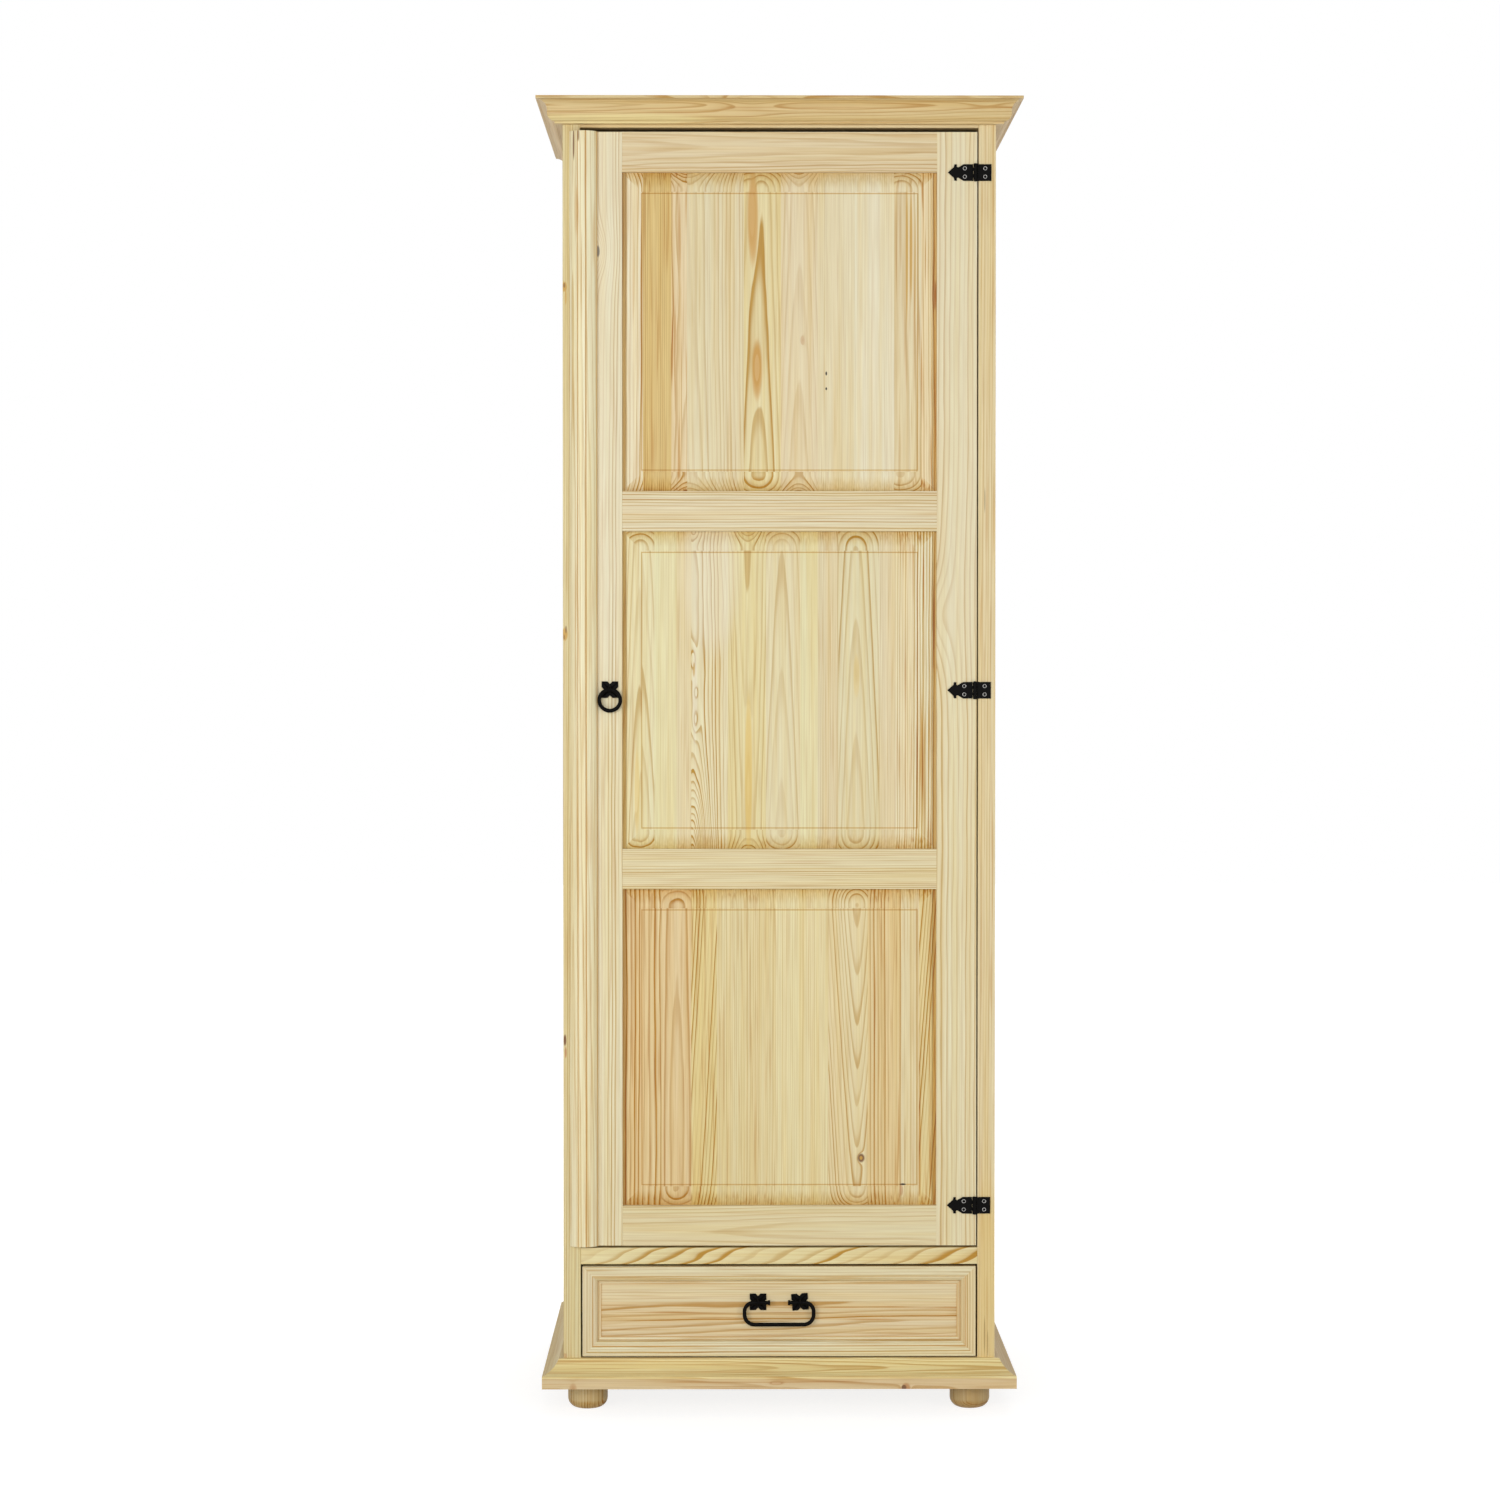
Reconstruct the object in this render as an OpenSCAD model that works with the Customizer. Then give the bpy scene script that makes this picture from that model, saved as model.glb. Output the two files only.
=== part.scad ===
// Single-door armoire in solid pine: a post-and-panel case on bun feet, with a plinth and a cornice,
// a raised-panel door on three surface hinges, and one drawer with a bail pull below it.
// X runs to the right, Y to the back and Z up. The origin is on the floor, under the middle of the
// whole outline, cornice included. All sizes are in millimetres.

/* [Case] */
// Width of the case over its side panels
case_w = 626; // [560:1:720]
// Depth of the case from the face of the posts to the back
case_d = 563; // [480:1:620]
// Height over all, from the floor to the top
total_h = 1900; // [1750:1:2100]
// Thickness of the sides, top, floors and shelf
board_t = 18; // [15:0.5:21]
// Width of the front posts
post_w = 25; // [24:0.5:36]
// Depth of the front posts and rails
post_t = 28; // [24:0.5:36]
// Height of the rail between the door and the drawer
divider_h = 24; // [20:0.5:40]
// Height of the top rail that shows below the cornice
top_rail_show = 4.2; // [2:0.1:12]
// Thickness of the plywood back
back_t = 4; // [3:0.5:6]
// Width of the rebate that holds the back
back_rebate = 8; // [5:0.5:12]

/* [Cornice] */
// Height of the cornice
cornice_h = 36.5; // [32:0.5:50]
// How far the cornice stands out from the case
cornice_out = 37; // [32:0.5:50]
// Height of the flat band along the top of the cornice
cornice_band = 4; // [3:0.5:8]
// Radius of the hollow under that band
cornice_cove = 15; // [12:0.5:16]
// Radius of the round under the hollow
cornice_ovolo = 12; // [8:0.5:12]

/* [Plinth and feet] */
// Height of the plinth
plinth_h = 40; // [36:0.5:60]
// How far the plinth stands out from the case
plinth_out = 30; // [24:0.5:40]
// Height of the upright band along the foot of the plinth
plinth_band = 18; // [12:0.5:22]
// How far the plinth stands out along its top edge
plinth_lip = 9; // [5:0.5:14]
// Height of the small upright along its top edge
plinth_lip_h = 5; // [3:0.5:8]
// Radius of the shallow hollow between the two
plinth_cove = 40; // [28:1:80]
// Height of the turned feet
foot_h = 38; // [30:0.5:60]
// Diameter of the turned feet
foot_d = 58; // [48:0.5:60]
// Radius of their rounded lower edge
foot_round = 15; // [8:0.5:18]
// Distance from the side of the case to the centre of a foot
foot_in = 34; // [32:0.5:60]
// Diameter of the spigot on top of a foot
spigot_d = 14; // [10:0.5:16]

/* [Inside] */
// Clear height over the hat shelf
hat_h = 270; // [200:1:340]
// Section of the cleats under the shelf
cleat = 20; // [15:0.5:28]
// Diameter of the hanging rail
rail_d = 25; // [20:0.5:32]
// Wall of the hanging rail
rail_wall = 1.5; // [1:0.1:3]
// Drop from the shelf to the middle of the hanging rail
rail_drop = 52; // [48:1:90]

/* [Door] */
// Thickness of the door frame
door_t = 20; // [18:0.5:24]
// Width of the stiles
stile_w = 58; // [50:0.5:80]
// Height of the four rails
rail_h = 58; // [50:0.5:90]
// Gap over the door
gap_top = 6; // [2:0.1:10]
// Gap under the door
gap_bottom = 3; // [2:0.1:6]
// Gap on the lock side
gap_lock = 3; // [2:0.1:5]
// Gap on the hinge side
gap_hinge = 2; // [1.5:0.1:3]
// Depth of the grooves that hold the panels
groove_d = 10; // [6:0.5:14]
// Depth from the face of the frame to the grooves
groove_set = 9; // [7:0.5:10]
// Thickness of the edge of a panel in its groove
tongue_t = 6; // [4:0.5:7]
// Depth of the raised field below the face of the frame
field_set = 2.5; // [1:0.25:4]
// Width of the rounded bevel that shows around the field
bevel_w = 28; // [16:0.5:40]
// Radius of that bevel
bevel_r = 60; // [45:1:120]
// Radius of the shoulder that ends the bevel along the stiles
side_round = 6; // [5:0.5:9]
// Width of the channel between that shoulder and a stile
side_channel = 4.75; // [3:0.25:6]
// Height of the fine step around the field
field_step = 0.9; // [0.5:0.1:1.5]
// Width of the cover strip on the lock side
strip_w = 40; // [34:0.5:50]
// Height of the cover strip over the face of the door
strip_t = 14; // [8:0.5:18]
// Thickness of the edges of the cover strip
strip_edge = 4; // [2:0.5:6]
// How far the cover strip laps over the edge of the door
strip_lap = 18; // [12:0.5:22]

/* [Drawer] */
// Height of the drawer opening
drawer_open_h = 136; // [120:1:180]
// Gap on both sides of the drawer front
drawer_gap = 2.5; // [1.5:0.1:4]
// Gap over the drawer front
drawer_gap_top = 3.5; // [2:0.1:6]
// Gap under the drawer front
drawer_gap_bottom = 2; // [1.5:0.1:4]
// Width of the moulded frame around the drawer front
bar_w = 27; // [24:0.5:34]
// Width of its flat face
bar_flat = 14.5; // [10:0.5:16]
// Radius of its rounded inner edge
bar_round = 8; // [6:0.5:8.5]
// Thickness of the drawer front
front_t = 20; // [19:0.5:24]
// Depth of the panel below the face of the frame
panel_set = 11; // [10.5:0.25:12]
// Thickness of the panel in the drawer front
front_panel_t = 6; // [4:0.5:6.5]
// Depth of the groove that holds that panel
bar_groove = 7; // [4:0.5:9]
// Thickness of the drawer sides and back
drawer_wall = 12; // [11:0.5:15]
// Height of the drawer sides
drawer_side_h = 110; // [90:1:112]
// Gap between a drawer side and the line of the post
drawer_side_gap = 6; // [4:0.5:9]
// Space behind the drawer
drawer_rear_gap = 59; // [40:1:120]
// Thickness of the drawer bottom
drawer_bottom_t = 4; // [3:0.5:6]
// Height of the runners
runner_h = 16; // [12:0.5:22]
// Depth of the runner grooves in the drawer sides
runner_groove = 7; // [5:0.5:8]

/* [Hinges] */
// Height of the hinges
hinge_h = 24; // [20:0.5:34]
// Thickness of the hinge leaves
leaf_t = 1.6; // [1:0.1:2]
// Diameter of the hinge knuckle
knuckle_d = 6; // [5:0.1:7]
// Diameter of the hinge pin
pin_d = 3; // [2:0.1:3.4]
// Distance from the knuckle to the tip of the arrow
arrow_len = 40; // [36:0.5:48]
// Distance from the knuckle to the end of the plate on the post
plate_len = 23; // [18:0.5:24]
// Distance from the ends of the door to the middle of the outer hinges
hinge_in = 58.5; // [40:0.5:120]
// Diameter of the hinge screws
screw_d = 3; // [2:0.1:4]
// Diameter of their heads
screw_head_d = 5.6; // [4.5:0.1:6.5]

/* [Pulls] */
// Width of the four-cornered rosettes
rosette_w = 24; // [18:0.5:28]
// Thickness of the rosettes
rosette_t = 1.8; // [1.2:0.1:2.5]
// Depth of the creases across the rosettes
crease = 0.8; // [0.3:0.1:1]
// Turn of the right one of the two on the drawer, fitted by hand
rosette_turn = 5; // [0:1:15]
// Distance from the mounting face to the middle of an eye
eye_set = 8; // [7.5:0.1:12]
// Diameter of the wire of the ring and the bail
wire_d = 5.6; // [4:0.1:6]
// Diameter of the metal that an eye is forged from
eye_wire = 3; // [2.4:0.1:4]
// Diameter of the ring over its wire
ring_d = 36; // [32:0.5:44]
// Height of the ring pull over the lower edge of the door
ring_up = 807; // [700:1:900]
// Width of the bail over its wire
bail_w = 106; // [92:1:130]
// Height of the bail's eyes over the middle of the drawer front
bail_up = 12; // [6:0.5:16]
// Drop from the eyes to the middle of the bail's grip
bail_drop = 32; // [30:0.5:40]
// Distance between the two eyes
eye_apart = 61; // [50:0.5:64]
// Radius of the upper corners of the bail
bail_top_r = 13; // [11:0.5:15]
// Radius of the lower corners of the bail
bail_low_r = 14.5; // [12:0.5:17]

/* [Hidden] */

$fn = 64;
eps = 1;                 // how far a cutting shape runs past the face that it cuts
fit = 0.1;               // clearance of a glued or floating joint
run = 0.3;               // clearance between pieces that move past each other

pine = "#e3cf98";
pine_panel = "#e0c68f";
plywood = "#d9c193";
iron = "#26221f";
steel = "#b4b2ac";
dark_plastic = "#4a4038";

// Planes of the case
front_out = max(cornice_out, plinth_out);
front_y = -(case_d + front_out) / 2 + front_out;
back_y = (case_d + front_out) / 2;
rear_y = back_y - back_t;                       // front of the plywood back
half_w = case_w / 2;
side_in = half_w - board_t;                     // inner face of a side panel
open_x = half_w - post_w;                       // half the width between the posts
post_back = front_y + post_t;

// Heights
plinth_top = foot_h + plinth_h;
drawer_open_top = plinth_top + drawer_open_h;
floor_z = drawer_open_top + divider_h;          // top of the compartment floor
lid_z = total_h - board_t;                      // underside of the top panel
cornice_z = total_h - cornice_h;
opening_top = cornice_z - top_rail_show;
shelf_top = lid_z - hat_h;
shelf_z = shelf_top - board_t;
rail_z = shelf_z - rail_drop;

// Door
door_x0 = -open_x + gap_lock;
door_x1 = open_x - gap_hinge;
door_w = door_x1 - door_x0;
door_mid = (door_x0 + door_x1) / 2;
door_z0 = floor_z + gap_bottom;
door_z1 = opening_top - gap_top;
door_h = door_z1 - door_z0;
door_back = front_y + door_t;
panel_gap_h = (door_h - 4 * rail_h) / 3;        // height of one panel opening
panel_gap_w = door_w - 2 * stile_w;
panel_t = groove_set - field_set + tongue_t;    // thickness of the raised panels
tenon_t = tongue_t;
rail_step = panel_gap_h + rail_h;               // from one rail to the next

// Hinges
knuckle_r = knuckle_d / 2;
leaf_start = knuckle_r + 0.6;                   // where a leaf's full-height plate starts
hinge_x = door_x1 + gap_hinge / 2 - leaf_start;
hinge_y = front_y - knuckle_r - run;
hinge_zs = [door_z0 + hinge_in, (door_z0 + door_z1) / 2, door_z1 - hinge_in];
knuckle_n = 5;
knuckle_h = hinge_h / knuckle_n;
pin_slack = 0.05;                               // clearance of a pin or tube in its hole
knuckle_gap = 0.2;                              // between one knuckle and the next
screw_up = hinge_h / 4;                         // screws above and below the middle of a leaf
door_screw_x = 15.5;                            // from the knuckle to the screws
post_screw_x = 14;
pilot_depth = 14;

// Drawer
drawer_x = open_x - drawer_gap;                 // half the width of the drawer front
drawer_z0 = plinth_top + drawer_gap_bottom;
drawer_z1 = drawer_open_top - drawer_gap_top;
drawer_h = drawer_z1 - drawer_z0;
drawer_mid = (drawer_z0 + drawer_z1) / 2;
drawer_back_y = front_y + front_t;              // back of the drawer front
drawer_end = rear_y - drawer_rear_gap;
drawer_out = open_x - drawer_side_gap;          // outer face of a drawer side
drawer_in = drawer_out - drawer_wall;
drawer_side_z = drawer_mid - drawer_side_h / 2;
housing = 4;                                    // depth that the sides enter the drawer front
bottom_up = 4;                                  // drawer bottom over the lower edge of the sides
drawer_bottom_z = drawer_side_z + bottom_up;
bottom_groove = 5;
runner_z = drawer_mid - runner_h / 2;
runner_front = drawer_back_y + 15;
runner_rear = 20;                               // from the back to the end of a runner
quirk = 1.2;                                    // fine step at the edge of the bar's flat face

// Pulls
wire_r = wire_d / 2;
eye_in = wire_r + run;                          // radius of the hole in an eye
eye_land = 0.15;                                // how much the drilled hole takes off the forged eye
eye_r = eye_in - eye_land + eye_wire / 2;
ring_r = ring_d / 2 - wire_r;
ring_x = door_x0 + (stile_w + strip_w - strip_lap) / 2;
ring_z = door_z0 + ring_up;
bail_z = drawer_mid + bail_up;
bail_y = front_y + panel_set - eye_set;
shank_d = 5;
rivet_d = 9;
rivet_t = 1.5;

// A board from one corner to the opposite corner
module board(a, b) { translate(a) cube(b - a); }

// The same piece on the left and on the right
module both_sides() { children(); mirror([1, 0, 0]) children(); }

// Case -----------------------------------------------------------------------------------------

module side_panel() {
    difference() {
        board([side_in, post_back, foot_h], [half_w, back_y, lid_z]);
        board([side_in - eps, rear_y, foot_h - eps], [side_in + back_rebate, back_y + eps, lid_z + eps]);
    }
}

module side_panel_left() { color(pine) mirror([1, 0, 0]) side_panel(); }
module side_panel_right() { color(pine) side_panel(); }

module post() { board([open_x, front_y, foot_h], [half_w, post_back, lid_z]); }

module post_left() { color(pine) mirror([1, 0, 0]) post(); }

module post_right() {
    color(pine) difference() {
        post();
        for (z = hinge_zs) screw_places(z, post_screw_x) pilot_hole();
    }
}

module top_rail() {
    color(pine) board([-open_x, front_y, opening_top], [open_x, post_back, lid_z]);
}

module divider_rail() {
    color(pine) board([-open_x, front_y, drawer_open_top], [open_x, post_back, floor_z]);
}

module top_panel() {
    color(pine) difference() {
        board([-half_w, front_y, lid_z], [half_w, back_y, total_h]);
        board([-side_in - back_rebate, rear_y, lid_z - eps],
            [side_in + back_rebate, back_y + eps, lid_z + back_rebate]);
    }
}

module compartment_floor() {
    color(pine) board([-side_in, post_back, floor_z - board_t], [side_in, rear_y, floor_z]);
}

module bottom_panel() {
    color(pine) union() {
        board([-side_in, post_back, plinth_top - board_t], [side_in, rear_y, plinth_top]);
        board([-open_x, front_y, plinth_top - board_t], [open_x, post_back, plinth_top]);
    }
}

module back_panel() {
    edge = side_in + back_rebate - fit;
    color(plywood) board([-edge, rear_y, plinth_top - board_t],
        [edge, back_y, lid_z + back_rebate - fit]);
}

module hat_shelf() {
    color(pine) board([-side_in, post_back, shelf_z], [side_in, rear_y, shelf_top]);
}

module shelf_cleats() {
    cleat_in = 35;       // from the post and from the back to the ends of a cleat
    color(pine) both_sides()
        board([side_in - cleat, post_back + cleat_in, shelf_z - cleat],
            [side_in, rear_y - cleat_in, shelf_z]);
}

socket_t = 3;            // flange and wall of a rail socket
socket_deep = 12;        // depth of its cup
rail_y = (post_back + rear_y) / 2;

module hanging_rail() {
    len = 2 * (side_in - socket_t - run);
    color(steel) translate([-len / 2, rail_y, rail_z]) rotate([0, 90, 0]) difference() {
        cylinder(d = rail_d, h = len);
        translate([0, 0, -eps]) cylinder(d = rail_d - 2 * rail_wall, h = len + 2 * eps);
    }
}

module rail_sockets() {
    cup_r = rail_d / 2 + pin_slack;
    flange_r = cup_r + 3 * socket_t;
    color(steel) both_sides() translate([side_in, rail_y, rail_z]) rotate([0, -90, 0])
        rotate_extrude() difference() {
            union() {
                square([flange_r, socket_t]);
                square([cup_r + socket_t, socket_t + socket_deep]);
            }
            translate([0, socket_t]) square([cup_r, socket_deep + eps]);
        }
}

// Mouldings ------------------------------------------------------------------------------------
// A section has X out from the case and Y up. A run along the front or a side is mitred in plan.

module front_run(out) {
    reach = out + eps;
    intersection() {
        translate([-half_w - reach, front_y, 0]) rotate([90, 0, 90])
            linear_extrude(case_w + 2 * reach) mirror([1, 0]) children();
        linear_extrude(total_h + eps) polygon([[-half_w, front_y], [half_w, front_y],
            [half_w + reach, front_y - reach], [-half_w - reach, front_y - reach]]);
    }
}

module side_run(out) {
    reach = out + eps;
    intersection() {
        translate([half_w, back_y, 0]) rotate([90, 0, 0])
            linear_extrude(case_d + reach) children();
        linear_extrude(total_h + eps) polygon([[half_w, front_y], [half_w + reach, front_y - reach],
            [half_w + reach, back_y], [half_w, back_y]]);
    }
}

module cornice_section() {
    step = 1;                                        // from the band back to the hollow
    drop = 3;                                        // from the middle of the hollow to that of the round
    lap = 0.4;                                       // how far the round reaches over the hollow
    fillet = 3;                                      // height of the small fillet at the foot
    fillet_show = 2;                                 // how far it shows behind the round
    cove_x = cornice_out - step;
    cove_z = -cornice_band - cornice_cove;
    neck = cove_x - cornice_cove;                    // where hollow and round meet
    ovolo_z = cove_z - drop;
    fillet_out = neck - cornice_ovolo + fillet_show;
    translate([0, total_h]) difference() {
        union() {
            translate([0, -cornice_h]) square([fillet_out, cornice_h]);
            translate([0, -cornice_band]) square([cornice_out, cornice_band]);
            difference() {
                translate([0, cove_z]) square([cove_x, cornice_cove + eps / 2]);
                translate([cove_x, cove_z]) circle(cornice_cove);
            }
            translate([neck - cornice_ovolo + lap, ovolo_z]) circle(cornice_ovolo);
        }
        translate([fillet_out, -cornice_h - eps]) square([cornice_out, fillet + eps]);
        translate([-cornice_out, -cornice_h - eps]) square([cornice_out, cornice_h + 2 * eps]);
    }
}

module plinth_section() {
    low = [plinth_out, plinth_band];
    high = [plinth_lip, plinth_h - plinth_lip_h];
    chord = norm(high - low);
    outward = [high.y - low.y, low.x - high.x] / chord;
    centre = (low + high) / 2 + outward * sqrt(pow(plinth_cove, 2) - pow(chord / 2, 2));
    translate([0, foot_h]) difference() {
        polygon([[0, 0], [plinth_out, 0], low, high, [plinth_lip, plinth_h], [0, plinth_h]]);
        translate(centre) circle(plinth_cove, $fn = 180);
    }
}

module cornice_front() { color(pine) front_run(cornice_out) cornice_section(); }
module cornice_right() { color(pine) side_run(cornice_out) cornice_section(); }
module cornice_left() { color(pine) mirror([1, 0, 0]) side_run(cornice_out) cornice_section(); }
module plinth_front() { color(pine) front_run(plinth_out) plinth_section(); }
module plinth_right() { color(pine) side_run(plinth_out) plinth_section(); }
module plinth_left() { color(pine) mirror([1, 0, 0]) side_run(plinth_out) plinth_section(); }

// Feet -----------------------------------------------------------------------------------------

foot_x = half_w - foot_in;
foot_front = front_y + foot_in;
foot_rear = back_y - foot_in;
block_z = plinth_top - board_t;                 // underside of the bottom panel
spigot_gap = 2;          // between the spigot and the bottom panel
spigot_h = block_z - foot_h - spigot_gap;

// A turned bun foot: upright above, well rounded below, with a spigot that enters its block
module foot(x, y) {
    foot_r = foot_d / 2;
    color(pine) translate([x, y, 0]) rotate_extrude() {
        difference() {
            square([foot_r, foot_h]);
            translate([foot_r - foot_round, 0]) difference() {
                translate([0, -eps]) square([foot_round + eps, foot_round + eps]);
                translate([0, foot_round]) circle(foot_round);
            }
        }
        translate([0, foot_h - eps]) square([spigot_d / 2, spigot_h + eps]);
    }
}

module foot_front_left() { foot(-foot_x, foot_front); }
module foot_front_right() { foot(foot_x, foot_front); }
module foot_back_left() { foot(-foot_x, foot_rear); }
module foot_back_right() { foot(foot_x, foot_rear); }

module foot_blocks() {
    block = 36;          // how far a block runs past the centre of its foot
    color(pine) both_sides() difference() {
        union() {
            board([foot_x - block, front_y, foot_h], [open_x, foot_front + block, block_z]);
            board([foot_x - block, foot_rear - block, foot_h], [open_x, rear_y, block_z]);
        }
        for (y = [foot_front, foot_rear]) translate([foot_x, y, foot_h - eps])
            cylinder(d = spigot_d + 2 * fit, h = spigot_h + eps + fit);
    }
}

// Hinges ---------------------------------------------------------------------------------------
// A leaf is drawn flat: X from the knuckle outward, Y up. It lies on the face of the wood.

// Children placed at the two screws of a leaf, with Z pointing into the wood
module screw_places(z, x) {
    for (up = [-screw_up, screw_up]) translate([hinge_x + x, front_y, z + up])
        rotate([-90, 0, 0]) children();
}

module pilot_hole() { translate([0, 0, -eps]) cylinder(d = screw_d, h = pilot_depth + eps); }

module arrow_outline() {
    half = hinge_h / 2;
    neck = hinge_h * 0.3;                       // half the height of the narrow neck
    head = 13;                                  // from the tip back to the barbs
    taper = 8.2;                                // length over which the plate narrows to the neck
    notch = [1.8, 1];                           // from the neck out to the root of a barb
    barb = [3.4, half - 0.3];                   // width of a barb, and half the height over both
    cheek = [0.8, 0.6];                         // from a barb and from the neck to the cheek of the head
    barb_x = arrow_len - head;
    neck_x = barb_x - notch.x;
    tip = [arrow_len, 0];
    upper = [[leaf_start, half], [neck_x - taper, half], [neck_x, neck],
        [barb_x, neck + notch.y], [barb_x, barb.y], [barb_x + barb.x, barb.y],
        [barb_x + barb.x + cheek.x, neck + cheek.y]];
    lower = [for (i = [len(upper) - 1:-1:0]) [upper[i].x, -upper[i].y]];
    polygon(concat(upper, [tip], lower));
}

module plate_outline() {
    translate([leaf_start, -hinge_h / 2]) square([plate_len - leaf_start, hinge_h]);
}

// One leaf, with its knuckles in every second place from first on. Lift holds the roots of the
// knuckles off the wood that they cross.
module hinge_leaf(z, side, first, screw_x, lift) {
    translate([hinge_x, front_y, z]) mirror([side < 0 ? 1 : 0, 0, 0]) difference() {
        union() {
            rotate([90, 0, 0]) linear_extrude(leaf_t) children();
            for (k = [first:2:knuckle_n - 1]) translate([0, 0, -hinge_h / 2 + k * knuckle_h]) {
                tall = knuckle_h - knuckle_gap;
                translate([0, hinge_y - front_y, 0]) cylinder(r = knuckle_r, h = tall);
                board([0, hinge_y - front_y, 0], [leaf_start + leaf_t, -lift, tall]);
            }
        }
        translate([0, hinge_y - front_y, -hinge_h]) cylinder(d = pin_d + 2 * pin_slack, h = 2 * hinge_h);
        for (up = [-screw_up, screw_up]) translate([screw_x, eps, up]) rotate([90, 0, 0])
            cylinder(d = screw_d + 2 * fit, h = leaf_t + 2 * eps);
    }
}

module hinge_post_leaves() {
    color(iron) for (z = hinge_zs) hinge_leaf(z, 1, 0, post_screw_x, run) plate_outline();
}

module hinge_door_leaves() {
    color(iron) for (z = hinge_zs) hinge_leaf(z, -1, 1, door_screw_x, 0) arrow_outline();
}

module hinge_pins() {
    head = 0.8;          // height of the rounded heads at both ends of a pin
    color(iron) for (z = hinge_zs) translate([hinge_x, hinge_y, z]) rotate_extrude() {
        translate([0, -hinge_h / 2 - head]) square([pin_d / 2, hinge_h + 2 * head]);
        for (end = [-hinge_h / 2 - head, hinge_h / 2]) translate([0, end])
            square([knuckle_r - 0.6, head]);
    }
}

// A dome-headed screw with a crossed recess, its head on a leaf and its shank in the pilot hole
module hinge_screw() {
    dome = 1.1;
    dome_r = (pow(screw_head_d / 2, 2) + pow(dome, 2)) / (2 * dome);
    translate([0, 0, -leaf_t]) difference() {
        union() {
            intersection() {
                translate([0, 0, dome_r - dome]) sphere(dome_r);
                translate([0, 0, -dome]) cylinder(d = screw_head_d, h = dome);
            }
            translate([0, 0, -dome / 2]) cylinder(d = screw_d - fit, h = leaf_t + pilot_depth - 1);
        }
        for (turn = [0, 90]) rotate(turn) translate([0, 0, -dome])
            cube([screw_head_d * 0.6, 0.8, dome], center = true);
    }
}

module hinge_post_screws() {
    color(steel) for (z = hinge_zs) screw_places(z, post_screw_x) hinge_screw();
}

module hinge_door_screws() {
    color(steel) for (z = hinge_zs) screw_places(z, -door_screw_x) hinge_screw();
}

// Door -----------------------------------------------------------------------------------------

// The groove that runs round the inside of the door frame, as a solid from one corner to another
module panel_groove(x0, z0, x1, z1) {
    board([x0, front_y + groove_set, z0], [x1, front_y + groove_set + tongue_t + fit, z1]);
}

module door_stile_lock() {
    inner = door_x0 + stile_w;
    color(pine) difference() {
        board([door_x0, front_y, door_z0], [inner, door_back, door_z1]);
        panel_groove(inner - groove_d, door_z0 - eps, inner + eps, door_z1 + eps);
        translate([ring_x, front_y - eps, ring_z]) rotate([-90, 0, 0])
            cylinder(d = shank_d + 2 * fit, h = door_t + 2 * eps);
    }
}

module door_stile_hinge() {
    inner = door_x1 - stile_w;
    color(pine) difference() {
        board([inner, front_y, door_z0], [door_x1, door_back, door_z1]);
        panel_groove(inner - eps, door_z0 - eps, inner + groove_d, door_z1 + eps);
        for (z = hinge_zs) screw_places(z, -door_screw_x) pilot_hole();
    }
}

// A rail of the door, counted from the bottom, with stub tenons and with grooves towards its panels
module door_rail(i) {
    z0 = door_z0 + i * rail_step;
    x0 = door_x0 + stile_w;
    x1 = door_x1 - stile_w;
    stub = groove_d - fit;
    color(pine) difference() {
        union() {
            board([x0, front_y, z0], [x1, door_back, z0 + rail_h]);
            board([x0 - stub, front_y + groove_set + fit / 2, z0],
                [x1 + stub, front_y + groove_set + tenon_t + fit / 2, z0 + rail_h]);
        }
        if (i < 3) panel_groove(x0 - groove_d, z0 + rail_h - groove_d, x1 + groove_d, z0 + rail_h + eps);
        if (i > 0) panel_groove(x0 - groove_d, z0 - eps, x1 + groove_d, z0 + groove_d);
    }
}

module door_rail_bottom() { door_rail(0); }
module door_rail_lower() { door_rail(1); }
module door_rail_upper() { door_rail(2); }
module door_rail_top() { door_rail(3); }

// What the cutter takes off the edge of a raised panel: X in from the edge, Y out of the panel
panel_edge = groove_d - fit;                    // how far a panel enters its grooves

module bevel_cut() {
    low = [panel_edge, tongue_t];
    high = [panel_edge + bevel_w, panel_t - field_step];
    chord = norm(high - low);
    inward = [high.y - low.y, low.x - high.x] / chord;
    difference() {
        polygon([[-eps, tongue_t], low, high, [high.x, panel_t + eps], [-eps, panel_t + eps]]);
        translate((low + high) / 2 + inward * sqrt(pow(bevel_r, 2) - pow(chord / 2, 2)))
            circle(bevel_r, $fn = 240);
    }
}

// Along the stiles a second pass leaves a flat channel and a rounded shoulder under the bevel
module shoulder_cut() {
    sink = side_round / 3;                      // the middle of the round below the channel
    centre = [panel_edge + side_channel + sqrt(pow(side_round, 2) - pow(sink, 2)), tongue_t - sink];
    difference() {
        polygon([[-eps, tongue_t], [centre.x, tongue_t], [centre.x, panel_t + eps], [-eps, panel_t + eps]]);
        translate(centre) circle(side_round);
    }
}

// A raised panel lying on its back, its field up
module raised_panel(w, h) {
    difference() {
        cube([w, h, panel_t]);
        for (flip = [0, 1]) {
            translate([flip * w, 0, 0]) mirror([flip, 0, 0]) translate([0, h + eps, 0])
                rotate([90, 0, 0]) {
                    linear_extrude(h + 2 * eps) bevel_cut();
                    linear_extrude(h + 2 * eps) shoulder_cut();
                }
            translate([-eps, flip * h, 0]) mirror([0, flip, 0])
                rotate([90, 0, 90]) linear_extrude(w + 2 * eps) bevel_cut();
        }
    }
}

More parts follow.
